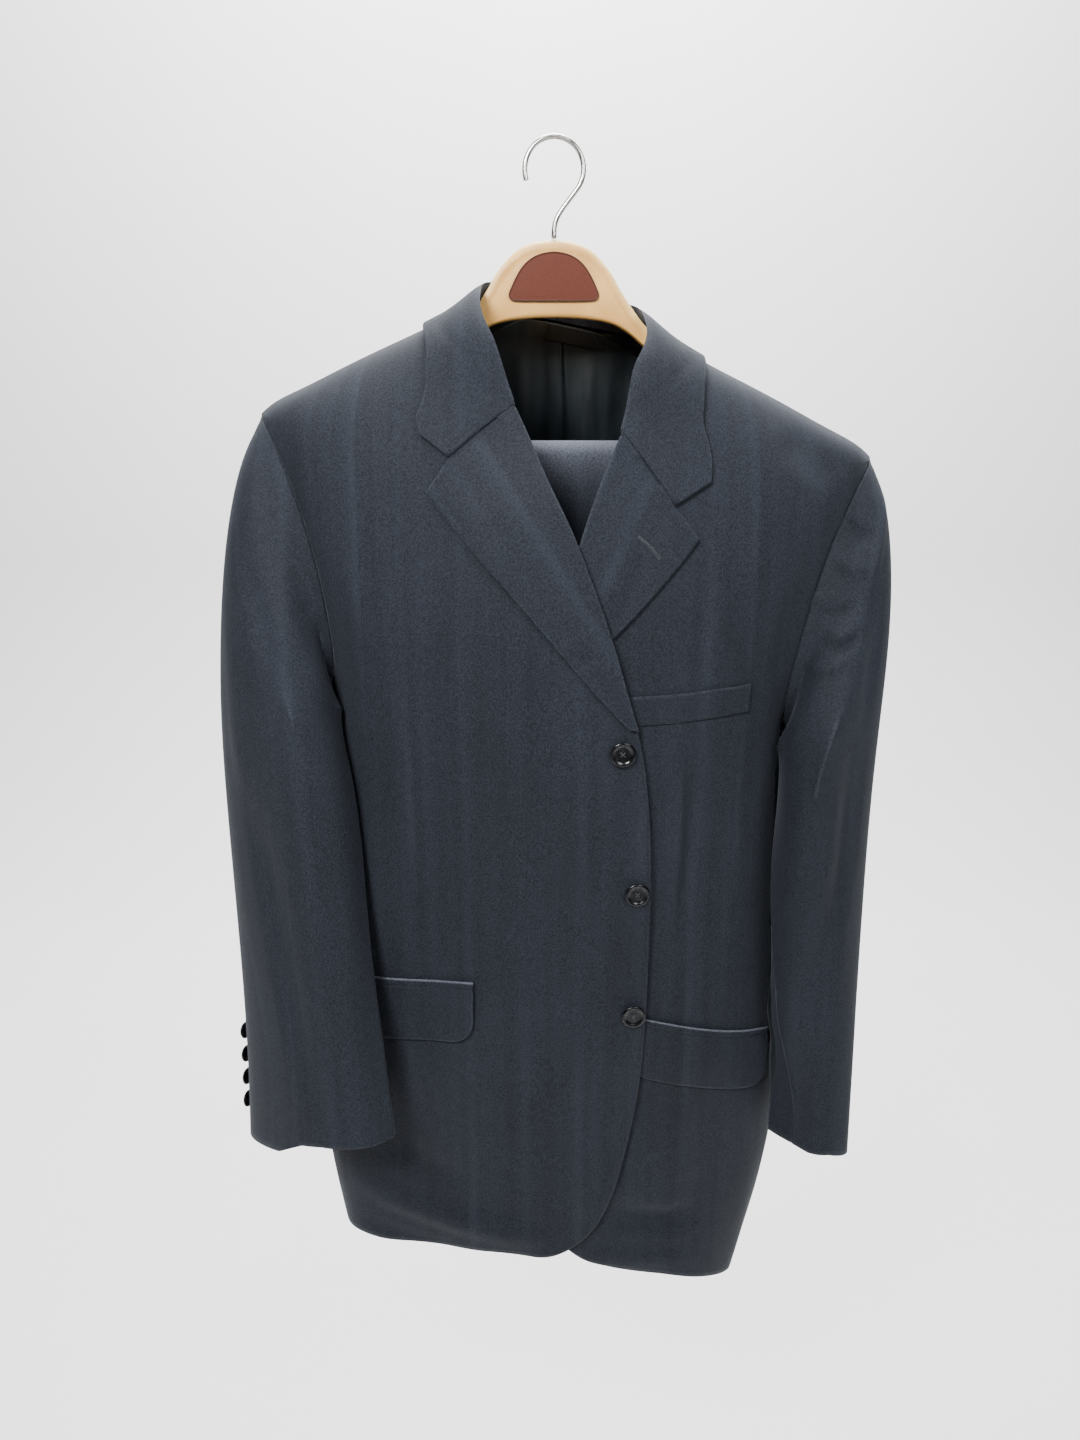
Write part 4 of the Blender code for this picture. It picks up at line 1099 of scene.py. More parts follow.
@dataclass
class ClothPiece:
    """One cut piece of cloth: a fine shell on its solid.

    Attributes:
        node: The solid that it stands for.
        region: The form that it wraps.
        flat: Width and length of the cut, in metres; not used.
        rests_on: What it lies on or hangs from; not used.
        held: How the cloth is held; not used.
        creases: The creases that cross it.
        area: The cut's flat area where it isn't a rectangle; not used.
        levels: How many times its faces are split.
        grain: How its warp runs.
        inside: Whether its inner side shows the lining.
        ripple: The height of its slow unevenness.
        slot: Which finish it is dressed with: cloth, lining or label.
        sink: How far it is let into the cloth below.
        corner: The turn past which an outline's corner stays sharp, in degrees.
        relax: How many times its wrinkles are eased.
        lit: How strongly its upper edge catches the light.
    """

    node: str
    region: Region
    flat: tuple[float, float]
    rests_on: tuple[str, ...]
    held: str = "hung"
    creases: tuple[Crease, ...] = ()
    area: float | None = None
    levels: int = 3
    grain: Grain = Grain.DOWN
    inside: bool = False
    ripple: float = RIPPLE_HEIGHT
    slot: str = "cloth"
    sink: float = 0.0
    corner: float = 28.0
    relax: int = 0
    lit: float = 0.0
    piece: bpy.types.Object | None = field(default=None, init=False)
    rim: np.ndarray | None = field(default=None, init=False)

    def build(self) -> bpy.types.Object:
        """Grow the shell, crease it and give it its map.

        Returns:
            The object, not yet dressed.
        """
        mesh = merged(self.node)
        mark_rims(mesh, corner=self.corner)
        self.ease(mesh)
        piece = new_piece(self.node + "_cloth", mesh)
        subdivided(piece, self.levels)
        points = points_of(piece.data)
        self.rim = self.rim_points(piece.data)
        line = LINES[self.region]
        wrap = line.spread_flat(points) if self.region is Region.BODY else line.wrap(points)
        turn = GRAIN_TURN[self.grain]
        across = wrap[:, 0] * math.cos(turn) + wrap[:, 1] * math.sin(turn)
        down = wrap[:, 1] * math.cos(turn) - wrap[:, 0] * math.sin(turn)
        lay_map(piece.data, np.stack([across, down], axis=1))
        push = crease_push(points, self.region, self.creases)
        push += fine_ripple(points, RIPPLE_SIZE, self.ripple) - self.sink
        if self.region is Region.SLEEVE_LEFT:
            points[:, 0] += cuff_draw(points)
        if self.region in CUFF_HANG:
            points[:, 2] += hem_drop(points, CUFF_HANG[self.region])
        points += line.outward(points) * push[:, None]
        move_points(piece, points)
        self.piece = piece
        return piece

    def ease(self, mesh: bmesh.types.BMesh) -> None:
        """Ease small wrinkles out of the coarse form, away from its rims.

        Args:
            mesh: The coarse form.
        """
        hold = mesh.edges.layers.float["crease_edge"]
        rim = {v for e in mesh.edges if e[hold] > 0 for v in e.verts}
        free = [v for v in mesh.verts if v not in rim]
        for _ in range(self.relax):
            bmesh.ops.smooth_vert(
                mesh, verts=free, factor=0.5, use_axis_x=True, use_axis_y=True, use_axis_z=False
            )

    def rim_points(self, mesh: bpy.types.Mesh) -> np.ndarray:
        """Find the points along the piece's sharp rims.

        Args:
            mesh: The fine mesh.

        Returns:
            An array of point numbers.
        """
        fine = bmesh.new()
        fine.from_mesh(mesh)
        found = set()
        for edge in fine.edges:
            if len(edge.link_faces) == 2 and edge.calc_face_angle() > math.radians(50):
                found.update(v.index for v in edge.verts)
        fine.free()
        return np.array(sorted(found))

    def height_below_top(self, points: np.ndarray) -> np.ndarray:
        """How far each point lies below the piece's top at its own place across.

        Args:
            points: Rows of x, y, z.

        Returns:
            A distance for each point.
        """
        return np.interp(points[:, 0], *top_outline(points)) - points[:, 2]

    def dress(self, outer: bpy.types.Material, inner: bpy.types.Material) -> None:
        """Give the shell its finish, attach it and hide its solid.

        Args:
            outer: The finish of its face.
            inner: The finish of its reverse, used where the inside shows the lining.
        """
        mesh = self.piece.data
        mesh.materials.clear()
        mesh.materials.append(outer)
        count = len(mesh.polygons)
        picks = np.zeros(count, np.int32)
        if self.inside:
            mesh.materials.append(inner)
            normals, middles = np.empty(count * 3), np.empty(count * 3)
            mesh.polygons.foreach_get("normal", normals)
            mesh.polygons.foreach_get("center", middles)
            away = LINES[self.region].outward(middles.reshape(-1, 3))
            facing = (away * normals.reshape(-1, 3)).sum(1)
            picks = (facing < -0.25).astype(np.int32)
        mesh.polygons.foreach_set("material_index", picks)
        mesh.shade_smooth()
        mesh.set_sharp_from_angle(angle=math.radians(50))
        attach(self.piece, ROOT)
        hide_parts(self.node)
        LOG.info("%s: %d faces", self.piece.name, count)


def meet(first: ClothPiece, second: ClothPiece) -> dict[str, np.ndarray]:
    """How far the rims of two pieces are moved, so that they meet half way.

    Args:
        first: One piece.
        second: The piece that it is sewn to.

    Returns:
        For each piece's node, rows of x, y, z for its rim points, none where they don't meet.
    """
    sides = [(p, points_of(p.piece.data)[p.rim]) for p in (first, second)]
    found = {}
    for (piece, rim), (_, other) in (sides, sides[::-1]):
        tree = tree_of(other)
        shift = np.full((len(rim), 3), np.nan)
        for index, spot in enumerate(rim):
            place, _, gap = tree.find(spot)
            if gap < SEAM_REACH:
                shift[index] = SEAM_DRAW * (np.array(place) - spot)
        found[piece.node] = shift
    return found


def close_seams(pieces: dict[str, ClothPiece], seams: tuple[tuple[str, str], ...]) -> None:
    """Draw sewn pieces together and mark their seams and free edges.

    Args:
        pieces: The pieces by node.
        seams: The nodes that are sewn to each other.
    """
    shifts = {name: np.full((len(p.rim), 3), np.nan) for name, p in pieces.items()}
    for first, second in seams:
        for name, shift in meet(pieces[first], pieces[second]).items():
            held = shifts[name]
            near = np.linalg.norm(shift, axis=1) < np.nan_to_num(np.linalg.norm(held, axis=1), nan=1)
            held[near] = shift[near]
    for name, piece in pieces.items():
        points = points_of(piece.piece.data)
        tree = tree_of(points[piece.rim])
        sewn = ~np.isnan(shifts[name][:, 0])
        shift = np.nan_to_num(shifts[name])
        nearest = [tree.find(spot) for spot in points]
        owner = np.array([n[1] for n in nearest])
        gap = np.array([n[2] for n in nearest])
        points += shift[owner] * (1 - smooth(gap / SEAM_FADE))[:, None]
        move_points(piece.piece, points)
        far = np.full(len(points), FAR)
        seam = rim_distance(points, points[piece.rim[sewn]]) if sewn.any() else far
        edge = rim_distance(points, points[piece.rim[~sewn]]) if (~sewn).any() else far
        store(piece.piece.data, "seam", seam)
        store(piece.piece.data, "edge", edge)
        if piece.lit:
            top = LIT_LEVEL - piece.height_below_top(points)
            store(piece.piece.data, "lit", piece.lit * smooth(1.0 + top / LIT_REACH))


@dataclass
class Jacket:
    """The jacket: fronts, sides, backs, sleeves, lapels, collar, pockets, lining and label.

    Attributes:
        finishes: The materials to dress it with.
        front_flat: The cut of a front.
        side_flat: The cut of a side body.
        back_flat: The cut of a back.
        top_sleeve_flat: The cut of a top sleeve.
        under_sleeve_flat: The cut of an under sleeve.
    """

    finishes: Finishes
    front_flat: tuple[float, float] = (0.340, 0.830)
    side_flat: tuple[float, float] = (0.190, 0.545)
    back_flat: tuple[float, float] = (0.270, 0.840)
    top_sleeve_flat: tuple[float, float] = (0.250, 0.660)
    under_sleeve_flat: tuple[float, float] = (0.170, 0.460)
    pieces: dict[str, ClothPiece] = field(default_factory=dict)

    def cut(self) -> None:
        """List every piece with its cut size."""
        for side in ("left", "right"):
            for piece in (*self.panels(side), *self.sleeve(side), *self.details(side)):
                self.pieces[piece.node] = piece
        chest = LAPEL_CREASES + BODY_CREASES
        fronts = ("front_left_cloth", "front_right_cloth")
        for piece in (
            ClothPiece("collar", Region.BODY, (0.50, 0.125), fronts, "folded", chest, 0.0433),
            ClothPiece(
                "welt_breast",
                Region.BODY,
                (0.104, 0.024),
                fronts[:1],
                "stretched",
                BODY_CREASES,
                ripple=0.0,
                sink=1.0 * MM,
            ),
            ClothPiece(
                "label_neck",
                Region.BODY,
                (0.046, 0.0135),
                ("lining_back_left_cloth",),
                "stretched",
                ripple=0.0,
                slot="label",
            ),
        ):
            self.pieces[piece.node] = piece

    def panels(self, side: str) -> tuple[ClothPiece, ...]:
        """The front, side body, back and back lining of one side.

        Args:
            side: The wearer's side, left or right.

        Returns:
            The four pieces.
        """
        front_area = {"left": 0.182, "right": 0.203}[side]
        under = ("hanger_body", f"back_{side}_cloth")
        shape = {"creases": BODY_CREASES, "inside": True, "corner": 50.0}
        return (
            ClothPiece(f"front_{side}", Region.BODY, self.front_flat, under, area=front_area, **shape),
            ClothPiece(f"side_{side}", Region.BODY, self.side_flat, under[1:], area=0.061, **shape),
            ClothPiece(f"back_{side}", Region.BODY, self.back_flat, under[:1], area=0.177, **shape),
            ClothPiece(
                f"lining_back_{side}",
                Region.BODY,
                (0.225, 0.25),
                under[1:],
                creases=LINING_CREASES,
                area=0.0437,
                slot="lining",
            ),
        )

    def sleeve(self, side: str) -> tuple[ClothPiece, ClothPiece]:
        """The top and under sleeve of one side.

        Args:
            side: The wearer's side, left or right.

        Returns:
            The two pieces.
        """
        region = Region.SLEEVE_LEFT if side == "left" else Region.SLEEVE_RIGHT
        areas = {"left": (0.110, 0.034), "right": (0.127, 0.056)}[side]
        shape = {"creases": SLEEVE_CREASES, "inside": True, "relax": 3}
        return (
            ClothPiece(
                f"sleeve_{side}_top",
                region,
                self.top_sleeve_flat,
                (f"front_{side}_cloth",),
                area=areas[0],
                **shape,
            ),
            ClothPiece(
                f"sleeve_{side}_under",
                region,
                self.under_sleeve_flat,
                (f"sleeve_{side}_top_cloth",),
                area=areas[1],
                **shape,
            ),
        )

    def details(self, side: str) -> tuple[ClothPiece, ...]:
        """The lapel, pocket flap and jet of one side.

        Args:
            side: The wearer's side, left or right.

        Returns:
            The three pieces.
        """
        on_front = (f"front_{side}_cloth",)
        grain = Grain.LAPEL_LEFT if side == "left" else Grain.LAPEL_RIGHT
        flat, area = {"left": ((0.115, 0.21), 0.0105), "right": ((0.125, 0.245), 0.0135)}[side]
        chest = LAPEL_CREASES + BODY_CREASES
        plain = {"creases": BODY_CREASES, "ripple": 0.0}
        return (
            ClothPiece(
                f"lapel_{side}", Region.BODY, flat, on_front, "folded", chest, area, grain=grain
            ),
            ClothPiece(f"flap_{side}", Region.BODY, (0.146, 0.05), on_front, corner=60.0, **plain),
            ClothPiece(
                f"jet_{side}",
                Region.BODY,
                (0.146, 0.0102),
                on_front,
                "stretched",
                area=0.00093,
                lit=0.75,
                **plain,
            ),
        )

    def seams(self) -> tuple[tuple[str, str], ...]:
        """The pairs of pieces that are sewn together.

        Returns:
            Pairs of node names.
        """
        found = [("back_left", "back_right"), ("lining_back_left", "lining_back_right")]
        for side in ("left", "right"):
            front, body, back = f"front_{side}", f"side_{side}", f"back_{side}"
            top, under = f"sleeve_{side}_top", f"sleeve_{side}_under"
            found += [(front, body), (body, back), (front, back), (top, under)]
            found += [(top, front), (top, back), (top, body), (under, body), (under, back)]
            found += [("collar", f"lapel_{side}"), ("collar", front)]
            found += [(f"flap_{side}", f"jet_{side}")]
        return tuple(found)

    def build(self) -> None:
        """Make every piece, sew them together and dress them."""
        self.cut()
        for piece in self.pieces.values():
            piece.build()
        close_seams(self.pieces, self.seams())
        dress = {
            "cloth": self.finishes.cloth,
            "lining": self.finishes.satin,
            "label": self.finishes.label,
        }
        for piece in self.pieces.values():
            piece.dress(dress[piece.slot], self.finishes.satin)


@dataclass
class Trousers:
    """The trousers: two creased legs over the bar and the waistband.

    Attributes:
        finishes: The materials to dress them with.
        leg_flat: The cut of a leg, all round it.
        band_flat: The cut of the waistband.
        wall: The cloth's thickness.
        fold_lit: How far down the gleam of the fold over the bar reaches.
    """

    finishes: Finishes
    leg_flat: tuple[float, float] = (0.530, 1.05)
    band_flat: tuple[float, float] = (0.268, 0.050)
    wall: float = 1.1 * MM
    fold_lit: float = 24.0 * MM

    def build(self) -> None:
        """Make and dress the legs and the band."""
        for side in ("left", "right"):
            self.leg(f"trouser_leg_{side}")
        band = ClothPiece(
            "trouser_waistband",
            Region.TROUSERS,
            self.band_flat,
            ("trouser_leg_left_cloth",),
            "folded",
            levels=2,
        )
        band.build()
        close_seams({band.node: band}, ())
        band.dress(self.finishes.cloth, self.finishes.satin)

    def leg(self, name: str) -> None:
        """Make a leg as a pressed tube of two layers, open at its ends.

        Args:
            name: The solid that it stands for.
        """
        mesh = merged(name)
        mesh.normal_update()
        caps = [f for f in mesh.faces if f.normal.z < -0.6 and f.calc_center_median().z < -0.5]
        bmesh.ops.delete(mesh, geom=caps, context="FACES_ONLY")
        mark_rims(mesh, 0.55, 90.0)
        piece = new_piece(name + "_cloth", mesh)
        subdivided(piece, 2)
        skin = bmesh.new()
        skin.from_mesh(piece.data)
        bmesh.ops.solidify(skin, geom=skin.faces, thickness=self.wall)
        skin.to_mesh(piece.data)
        skin.free()
        points = points_of(piece.data)
        line = LINES[Region.TROUSERS]
        flat = line.wrap(points)
        flat[:, 0] = points[:, 0]
        lay_map(piece.data, flat)
        push = fine_ripple(points, 0.075, 0.5 * MM)
        points[:, 1] += push * np.where(points[:, 1] > line.at(points[:, 2])[1], 1.0, -1.0)
        move_points(piece, points)
        shell = ClothPiece(name, Region.TROUSERS, self.leg_flat, ("hanger_bar",), "folded")
        shell.piece = piece
        shell.rim = shell.rim_points(piece.data)
        close_seams({name: shell}, ())
        below = points[:, 2].max() - points[:, 2]
        store(piece.data, "lit", 0.55 * np.exp(-((below / self.fold_lit) ** 1.5)))
        shell.dress(self.finishes.cloth, self.finishes.satin)


@dataclass
class Buttons:
    """Sewn buttons: a rimmed disc with four holes, a cross of thread and a thread shank."""

    finishes: Finishes
    front: tuple[str, ...] = tuple(f"button_front_{k}" for k in (1, 2, 3))
    cuffs: tuple[str, ...] = tuple(f"button_cuff_{s}_{k}" for s in ("left", "right") for k in (1, 2, 3, 4))
    front_radius: float = 10.0 * MM
    cuff_radius: float = 7.5 * MM
    thick: float = 3.2 * MM
    hole_reach: float = 0.24
    hole_size: float = 0.09

    def build(self) -> None:
        """Make every button where its solid is."""
        for name in self.front:
            self.sew(name, self.front_radius, Region.BODY)
        for name in self.cuffs:
            region = Region.SLEEVE_LEFT if "left" in name else Region.SLEEVE_RIGHT
            self.sew(name, self.cuff_radius, region)

    def seat(self, name: str, region: Region) -> tuple[Vector, Vector]:
        """Where a button sits and which way it faces, measured on its solid.

        Args:
            name: The solid.
            region: The form that it is sewn to.

        Returns:
            The middle of its foot and its facing direction.
        """
        points = points_of(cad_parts[name].data)
        points = np.unique(np.round(points, 6), axis=0)
        middle = (points.max(0) + points.min(0)) / 2
        _, _, axes = np.linalg.svd(points - points.mean(0))
        facing = axes[2]
        away = LINES[region].outward(middle[None, :])[0]
        if facing @ away < 0:
            facing = -facing
        reach = (points - middle) @ facing
        foot = middle + facing * reach.min()
        laid = BODY_CREASES if region is Region.BODY else SLEEVE_CREASES
        push = crease_push(middle[None, :], region, laid)
        push += fine_ripple(middle[None, :], RIPPLE_SIZE, RIPPLE_HEIGHT)
        foot = foot + away * push[0]
        return Vector(foot), Vector(facing)

    def sew(self, name: str, radius: float, region: Region) -> None:
        """Make one button and its thread.

        Args:
            name: The solid that it stands for.
            radius: Half its width.
            region: The form that it is sewn to.
        """
        foot, facing = self.seat(name, region)
        place = Matrix.Translation(foot) @ facing.to_track_quat("Z", "Y").to_matrix().to_4x4()
        disc = self.turned(radius)
        self.pierce(disc, radius)
        bmesh.ops.transform(disc, matrix=place, verts=disc.verts)
        button = new_piece(name + "_horn", disc)
        button.data.materials.append(self.finishes.horn)
        button.data.shade_smooth()
        button.data.set_sharp_from_angle(angle=math.radians(35))
        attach(button, ROOT)
        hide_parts(name)
        thread = self.cross(radius)
        bmesh.ops.transform(thread, matrix=place, verts=thread.verts)
        stitch = new_piece(name + "_thread", thread)
        stitch.data.materials.append(self.finishes.thread)
        stitch.data.shade_smooth()
        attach(stitch, ROOT)
        LOG.info("%s sewn", name)

    def turned(self, radius: float) -> bmesh.types.BMesh:
        """A disc spun from its profile: a raised round rim about a dished middle.

        Args:
            radius: Half its width.

        Returns:
            The closed disc, its foot at the origin.
        """
        thick = self.thick
        profile = (
            (0.0, 0.12),
            (0.62, 0.12),
            (0.84, 0.20),
            (0.96, 0.42),
            (1.00, 0.62),
            (0.985, 0.80),
            (0.94, 0.93),
            (0.87, 1.00),
            (0.79, 0.97),
            (0.72, 0.84),
            (0.66, 0.68),
            (0.60, 0.62),
            (0.55, 0.60),
            (0.50, 0.60),
            (0.0, 0.60),
        )
        mesh = bmesh.new()
        verts = [mesh.verts.new((radius * r, 0.0, thick * h)) for r, h in profile]
        edges = [mesh.edges.new(pair) for pair in zip(verts, verts[1:])]
        bmesh.ops.spin(
            mesh,
            geom=verts + edges,
            cent=(0, 0, 0),
            axis=(0, 0, 1),
            angle=2 * math.pi,
            steps=40,
            use_merge=True,
        )
        bmesh.ops.remove_doubles(mesh, verts=mesh.verts, dist=0.01 * MM)
        bmesh.ops.recalc_face_normals(mesh, faces=mesh.faces)
        return mesh

    def pierce(self, disc: bmesh.types.BMesh, radius: float) -> None:
        """Cut four holes through a disc.

        Args:
            disc: The disc, changed here.
            radius: Half its width.
        """
        drill = bmesh.new()
        for k in range(4):
            turn = math.pi / 4 + k * math.pi / 2
            reach = self.hole_reach * radius
            where = Matrix.Translation((reach * math.cos(turn), reach * math.sin(turn), self.thick / 2))
            rod(drill, 14, (self.hole_size * radius,) * 2, 2 * self.thick, where)
        tool, blank = new_piece("drill", drill), new_piece("blank", disc.copy())
        cutter = blank.modifiers.new("holes", "BOOLEAN")
        cutter.operation = "DIFFERENCE"
        cutter.solver = "EXACT"
        cutter.object = tool
        graph = bpy.context.evaluated_depsgraph_get()
        fine = bpy.data.meshes.new_from_object(blank.evaluated_get(graph))
        disc.clear()
        disc.from_mesh(fine)
        for spare in (tool, blank):
            data = spare.data
            bpy.data.objects.remove(spare)
            bpy.data.meshes.remove(data)
        bpy.data.meshes.remove(fine)

    def cross(self, radius: float) -> bmesh.types.BMesh:
        """Two crossed pairs of threads through the holes, and the shank behind.

        Args:
            radius: Half the button's width.

        Returns:
            The threads, with the button's foot at the origin.
        """
        mesh = bmesh.new()
        reach = self.hole_reach * radius
        across = Matrix.Rotation(math.pi / 2, 4, "Y")
        for k, turn in enumerate((math.pi / 4, 3 * math.pi / 4)):
            for shift in (-0.22, 0.22):
                lift = self.thick * (0.66 + 0.06 * k)
                where = Matrix.Rotation(turn, 4, "Z") @ Matrix.Translation((0, shift * MM, lift)) @ across
                rod(mesh, 8, (0.26 * MM, 0.26 * MM), 2.3 * reach, where)
        rod(mesh, 12, (1.3 * MM, 1.0 * MM), 0.8 * MM, Matrix.Translation((0, 0, 0.05 * MM)))
        return mesh


@dataclass
class LapelButtonhole:
    """The worked buttonhole on the wearer's left lapel."""

    finishes: Finishes
    path: Path = ((61, -277), (65, -280), (69, -283.5), (73, -288), (77, -293))
    half: float = 0.85 * MM
    stitches: int = 46
    slant: float = 0.72
    apart: float = 0.55 * MM
    rise: float = 0.2 * MM

    def build(self, lapel: bpy.types.Object) -> None:
        """Lay a ridge of close stitches on the lapel.

        Args:
            lapel: The lapel's shell.
        """
        shell = bmesh.new()
        shell.from_mesh(lapel.data)
        surface = BVHTree.FromBMesh(shell)
        spots = np.array(self.path, float) * MM
        steps = np.linspace(0, len(spots) - 1, self.stitches)
        x = np.interp(steps, range(len(spots)), spots[:, 0])
        z = np.interp(steps, range(len(spots)), spots[:, 1])
        mesh = bmesh.new()
        for k in range(self.stitches):
            hit = surface.ray_cast(Vector((x[k], -0.3, z[k])), Vector((0, 1, 0)))
            if hit[0] is None:
                continue
            side = Vector((math.cos(self.slant), 0, math.sin(self.slant)))
            for row in (-1, 1):
                where = hit[0] + hit[1] * self.rise + side * row * self.apart
                turn = side.to_track_quat("X", "Z").to_matrix().to_4x4()
                size = Matrix.Diagonal((self.half, 0.32 * MM, 0.24 * MM, 1))
                bmesh.ops.create_icosphere(
                    mesh,
                    subdivisions=1,
                    radius=1.0,
                    matrix=Matrix.Translation(where) @ turn @ size,
                )
        shell.free()
        stitches = new_piece("lapel_buttonhole", mesh)
        stitches.data.materials.append(self.finishes.thread)
        stitches.data.shade_smooth()
        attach(stitches, ROOT)
        LOG.info("lapel buttonhole: %d faces", len(stitches.data.polygons))


@dataclass
class Hanger:
    """The hanger: moulded crown and shoulders, bare panel, bar and wire hook.

    Attributes:
        finishes: The materials to dress it with.
        rim: Width of the raised rim round the crown's face.
        recess: Depth of the face inside its rim.
    """

    finishes: Finishes
    rim: float = 6.5 * MM
    recess: float = 0.9 * MM

    def build(self) -> None:
        """Make and dress its four parts."""
        self.moulding()
        self.panel()
        for name, slot, finish in (
            ("hanger_bar", "moulding", self.finishes.moulding),
            ("hanger_hook", "wire", self.finishes.wire),
        ):
            mesh = merged(name)
            mark_rims(mesh, 0.7)
            piece = new_piece(name + "_fine", mesh)
            subdivided(piece, 2)
            store(piece.data, "edge", np.full(len(piece.data.vertices), FAR))
            self.finish(piece, name, slot, finish)

    def moulding(self) -> None:
        """The crown and shoulders, with a raised rim along the top, painted paler as a highlight."""
        mesh = merged("hanger_body")
        mark_rims(mesh, 0.5, 90.0)
        piece = new_piece("hanger_body_fine", mesh)
        subdivided(piece, 3)
        points = points_of(piece.data)
        below = self.below_top(points)
        store(piece.data, "edge", below)
        inward = smooth((below - 0.8 * self.rim) / (0.5 * self.rim))
        near = smooth((0.075 - np.abs(points[:, 0])) / 0.012)
        facing = smooth((-points[:, 1] - 4 * MM) / (2 * MM))
        points[:, 1] += self.recess * inward * near * facing
        move_points(piece, points)
        self.finish(piece, "hanger_body", "moulding", self.finishes.moulding)

    def below_top(self, points: np.ndarray) -> np.ndarray:
        """Each point's distance under the hanger's top outline.

        Args:
            points: Rows of x, y, z.

        Returns:
            A distance for each point.
        """
        across, tops = top_outline(points)
        fine_x = np.linspace(across[0], across[-1], 500)
        rim = np.stack([fine_x, np.zeros(500), np.interp(fine_x, across, tops)], axis=1)
        flat = points.copy()
        flat[:, 1] = 0
        return rim_distance(flat, rim)

    def panel(self) -> None:
        """The bare brown domed panel, sunk in the crown's face, with a round border."""
        mesh = merged("hanger_panel")
        mesh.normal_update()
        front = [f for f in mesh.faces if f.normal.y < -0.9]
        flat = bmesh.ops.dissolve_faces(mesh, faces=front)["region"]
        for width, rise in ((0.8 * MM, 0.0), (0.7 * MM, -0.25 * MM), (0.8 * MM, 0.2 * MM)):
            bmesh.ops.inset_region(mesh, faces=flat, thickness=width, depth=rise)
        mark_rims(mesh, 1.0, 90.0)
        piece = new_piece("hanger_panel_fine", mesh)
        subdivided(piece, 2)
        points = points_of(piece.data)
        flat_points = points * (1, 0, 1)
        store(piece.data, "edge", rim_distance(flat_points, outline_of(flat_points)))
        self.finish(piece, "hanger_panel", "inset", self.finishes.inset)

    def finish(self, piece: bpy.types.Object, node: str, slot: str, look: bpy.types.Material) -> None:
        """Dress a part, attach it and hide the solid that it replaces.

        Args:
            piece: The part.
            node: The solid that it replaces.
            slot: Not used.
            look: Its material.
        """
        piece.data.materials.clear()
        piece.data.materials.append(look)
        piece.data.polygons.foreach_set("material_index", [0] * len(piece.data.polygons))
        piece.data.shade_smooth()
        piece.data.set_sharp_from_angle(angle=math.radians(45))
        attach(piece, ROOT)
        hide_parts(node)
        LOG.info("%s dressed", node)


@dataclass(frozen=True)
class Lamp:
    """A soft area lamp, by its place, what it faces, its size and its power."""

    name: str
    place: tuple[float, float, float]
    facing: tuple[float, float, float]
    size: float
    power: float
    colour: tuple[float, float, float] = (1.0, 1.0, 1.0)


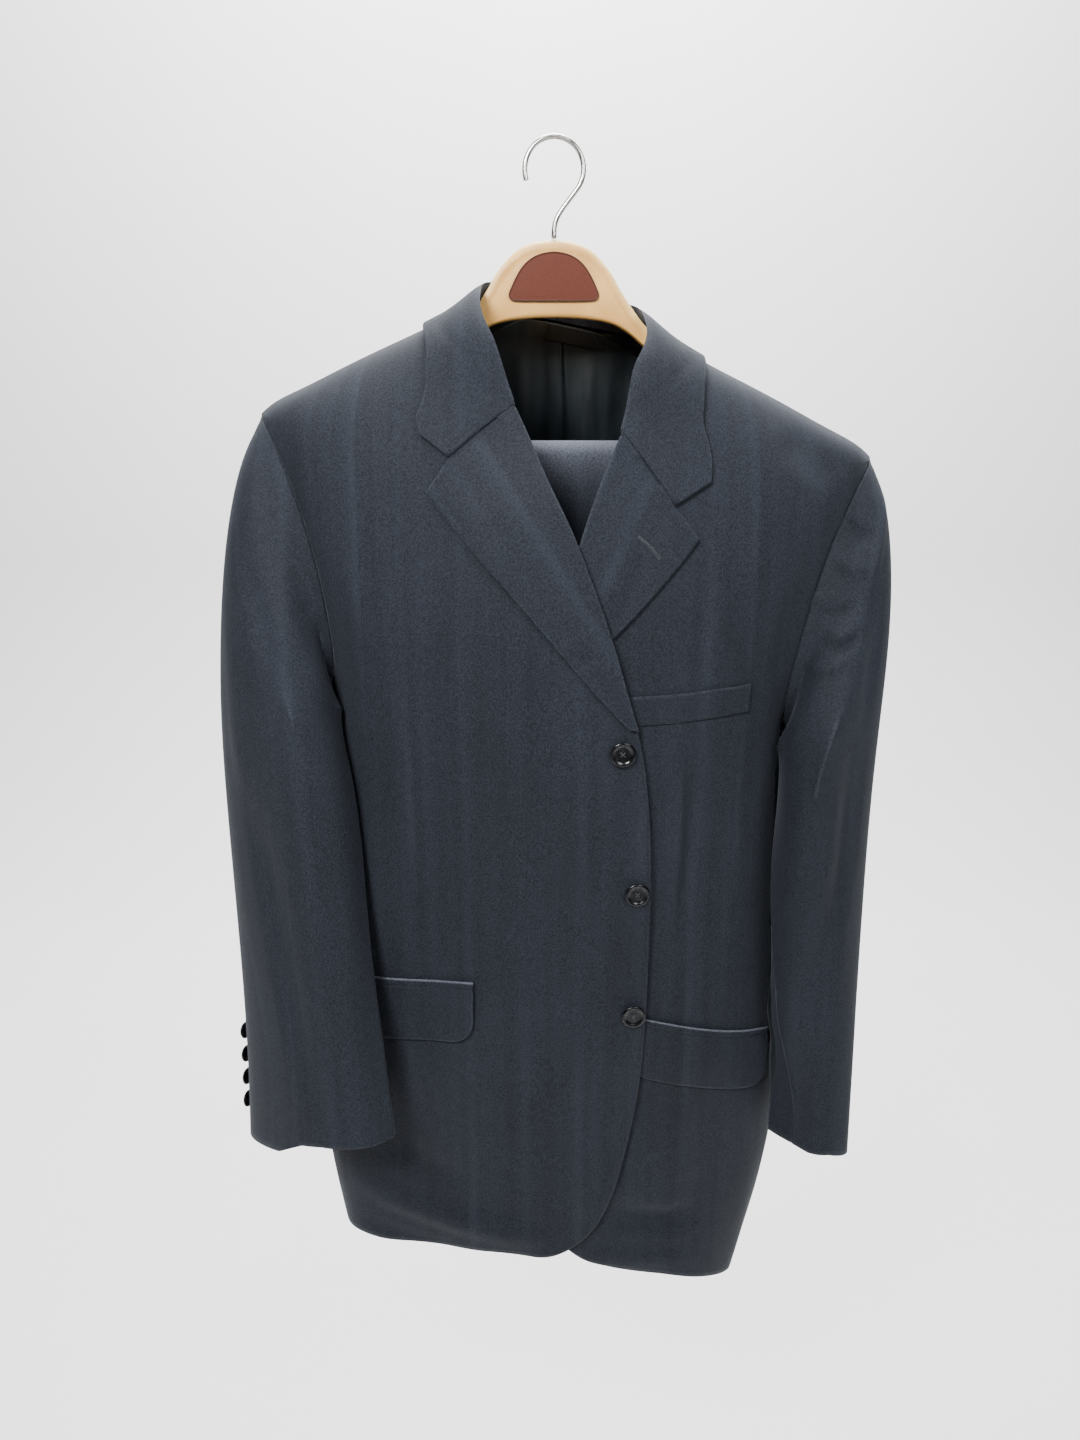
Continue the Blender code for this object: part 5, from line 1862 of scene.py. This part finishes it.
@dataclass
class Studio:
    """The pale floor bent up into a backdrop, the soft lamps and the camera."""

    finishes: Finishes
    floor_z: float = -1.62
    floor_size: float = 14.0
    wall_y: float = 2.6
    wall_top: float = 2.8
    bend: float = 0.9
    sky: tuple[float, float, float] = (1.0, 1.0, 1.0)
    sky_strength: float = 0.08
    lens: float = 26.0
    camera_place: tuple[float, float, float] = (-0.0105, -0.860, -0.170)
    camera_pitch: float = 72.0
    lamps: tuple[Lamp, ...] = (
        Lamp("key", (-0.45, -1.10, 0.45), (0.0, 0.0, -0.30), 0.40, 36.0),
        Lamp("fill", (0.75, -1.1, 0.35), (0.12, 0.0, -0.40), 0.6, 14.0),
        Lamp("back", (0.5, 1.7, 1.2), (0.0, 0.0, -0.2), 1.0, 12.0),
        Lamp("wash", (0.0, 0.9, 2.5), (0.0, 2.6, -0.6), 1.8, 370.0),
        Lamp("floor_wash", (0.0, 1.3, 2.2), (0.0, 1.7, -1.6), 1.6, 60.0),
    )

    def build(self) -> None:
        """Lay the floor, bent up into a backdrop, light it and set the camera."""
        mesh = bmesh.new()
        turns = np.linspace(0, math.pi / 2, 17)
        front = self.wall_y - self.floor_size
        profile = [(front, self.floor_z)]
        profile += [
            (
                self.wall_y - self.bend + self.bend * math.sin(t),
                self.floor_z + self.bend - self.bend * math.cos(t),
            )
            for t in turns
        ]
        profile.append((self.wall_y, self.wall_top))
        half = self.floor_size / 2
        verts = [mesh.verts.new((-half, y, z)) for y, z in profile]
        edges = [mesh.edges.new(pair) for pair in zip(verts, verts[1:])]
        swept = bmesh.ops.extrude_edge_only(mesh, edges=edges)["geom"]
        moved = [v for v in swept if isinstance(v, bmesh.types.BMVert)]
        bmesh.ops.translate(mesh, verts=moved, vec=(2 * half, 0, 0))
        bmesh.ops.recalc_face_normals(mesh, faces=mesh.faces)
        mesh.faces.ensure_lookup_table()
        if mesh.faces[0].normal.z < 0:
            bmesh.ops.reverse_faces(mesh, faces=mesh.faces)
        floor = new_piece("floor", mesh)
        floor.data.shade_smooth()
        floor.data.materials.append(self.finishes.floor)
        self.light()
        self.look()

    def light(self) -> None:
        """Hang the lamps and the even pale sky."""
        world = bpy.data.worlds.new("sky")
        world.use_nodes = True
        shade = world.node_tree.nodes["Background"]
        shade.inputs["Color"].default_value = (*self.sky, 1.0)
        shade.inputs["Strength"].default_value = self.sky_strength
        bpy.context.scene.world = world
        for lamp in self.lamps:
            data = bpy.data.lights.new(lamp.name, "AREA")
            data.size = lamp.size
            data.energy = lamp.power
            data.color = lamp.colour
            holder = bpy.data.objects.new(lamp.name, data)
            bpy.context.scene.collection.objects.link(holder)
            place = Vector(lamp.place)
            aim = (Vector(lamp.facing) - place).to_track_quat("-Z", "Y")
            holder.matrix_world = Matrix.Translation(place) @ aim.to_matrix().to_4x4()

    def look(self) -> None:
        """Set the camera."""
        data = bpy.data.cameras.new("view")
        data.lens = self.lens
        data.clip_start = 0.02
        holder = bpy.data.objects.new("view", data)
        bpy.context.scene.collection.objects.link(holder)
        holder.location = self.camera_place
        holder.rotation_euler = (math.radians(self.camera_pitch), 0, 0)
        bpy.context.scene.camera = holder


def main() -> None:
    """Build the pieces in order."""
    logging.basicConfig(level=logging.INFO, format="%(message)s")
    finishes = Finishes()
    Studio(finishes).build()
    jacket = Jacket(finishes)
    jacket.build()
    Trousers(finishes).build()
    Buttons(finishes).build()
    LapelButtonhole(finishes).build(jacket.pieces["lapel_left"].piece)
    Hanger(finishes).build()


if __name__ == "__main__":
    main()
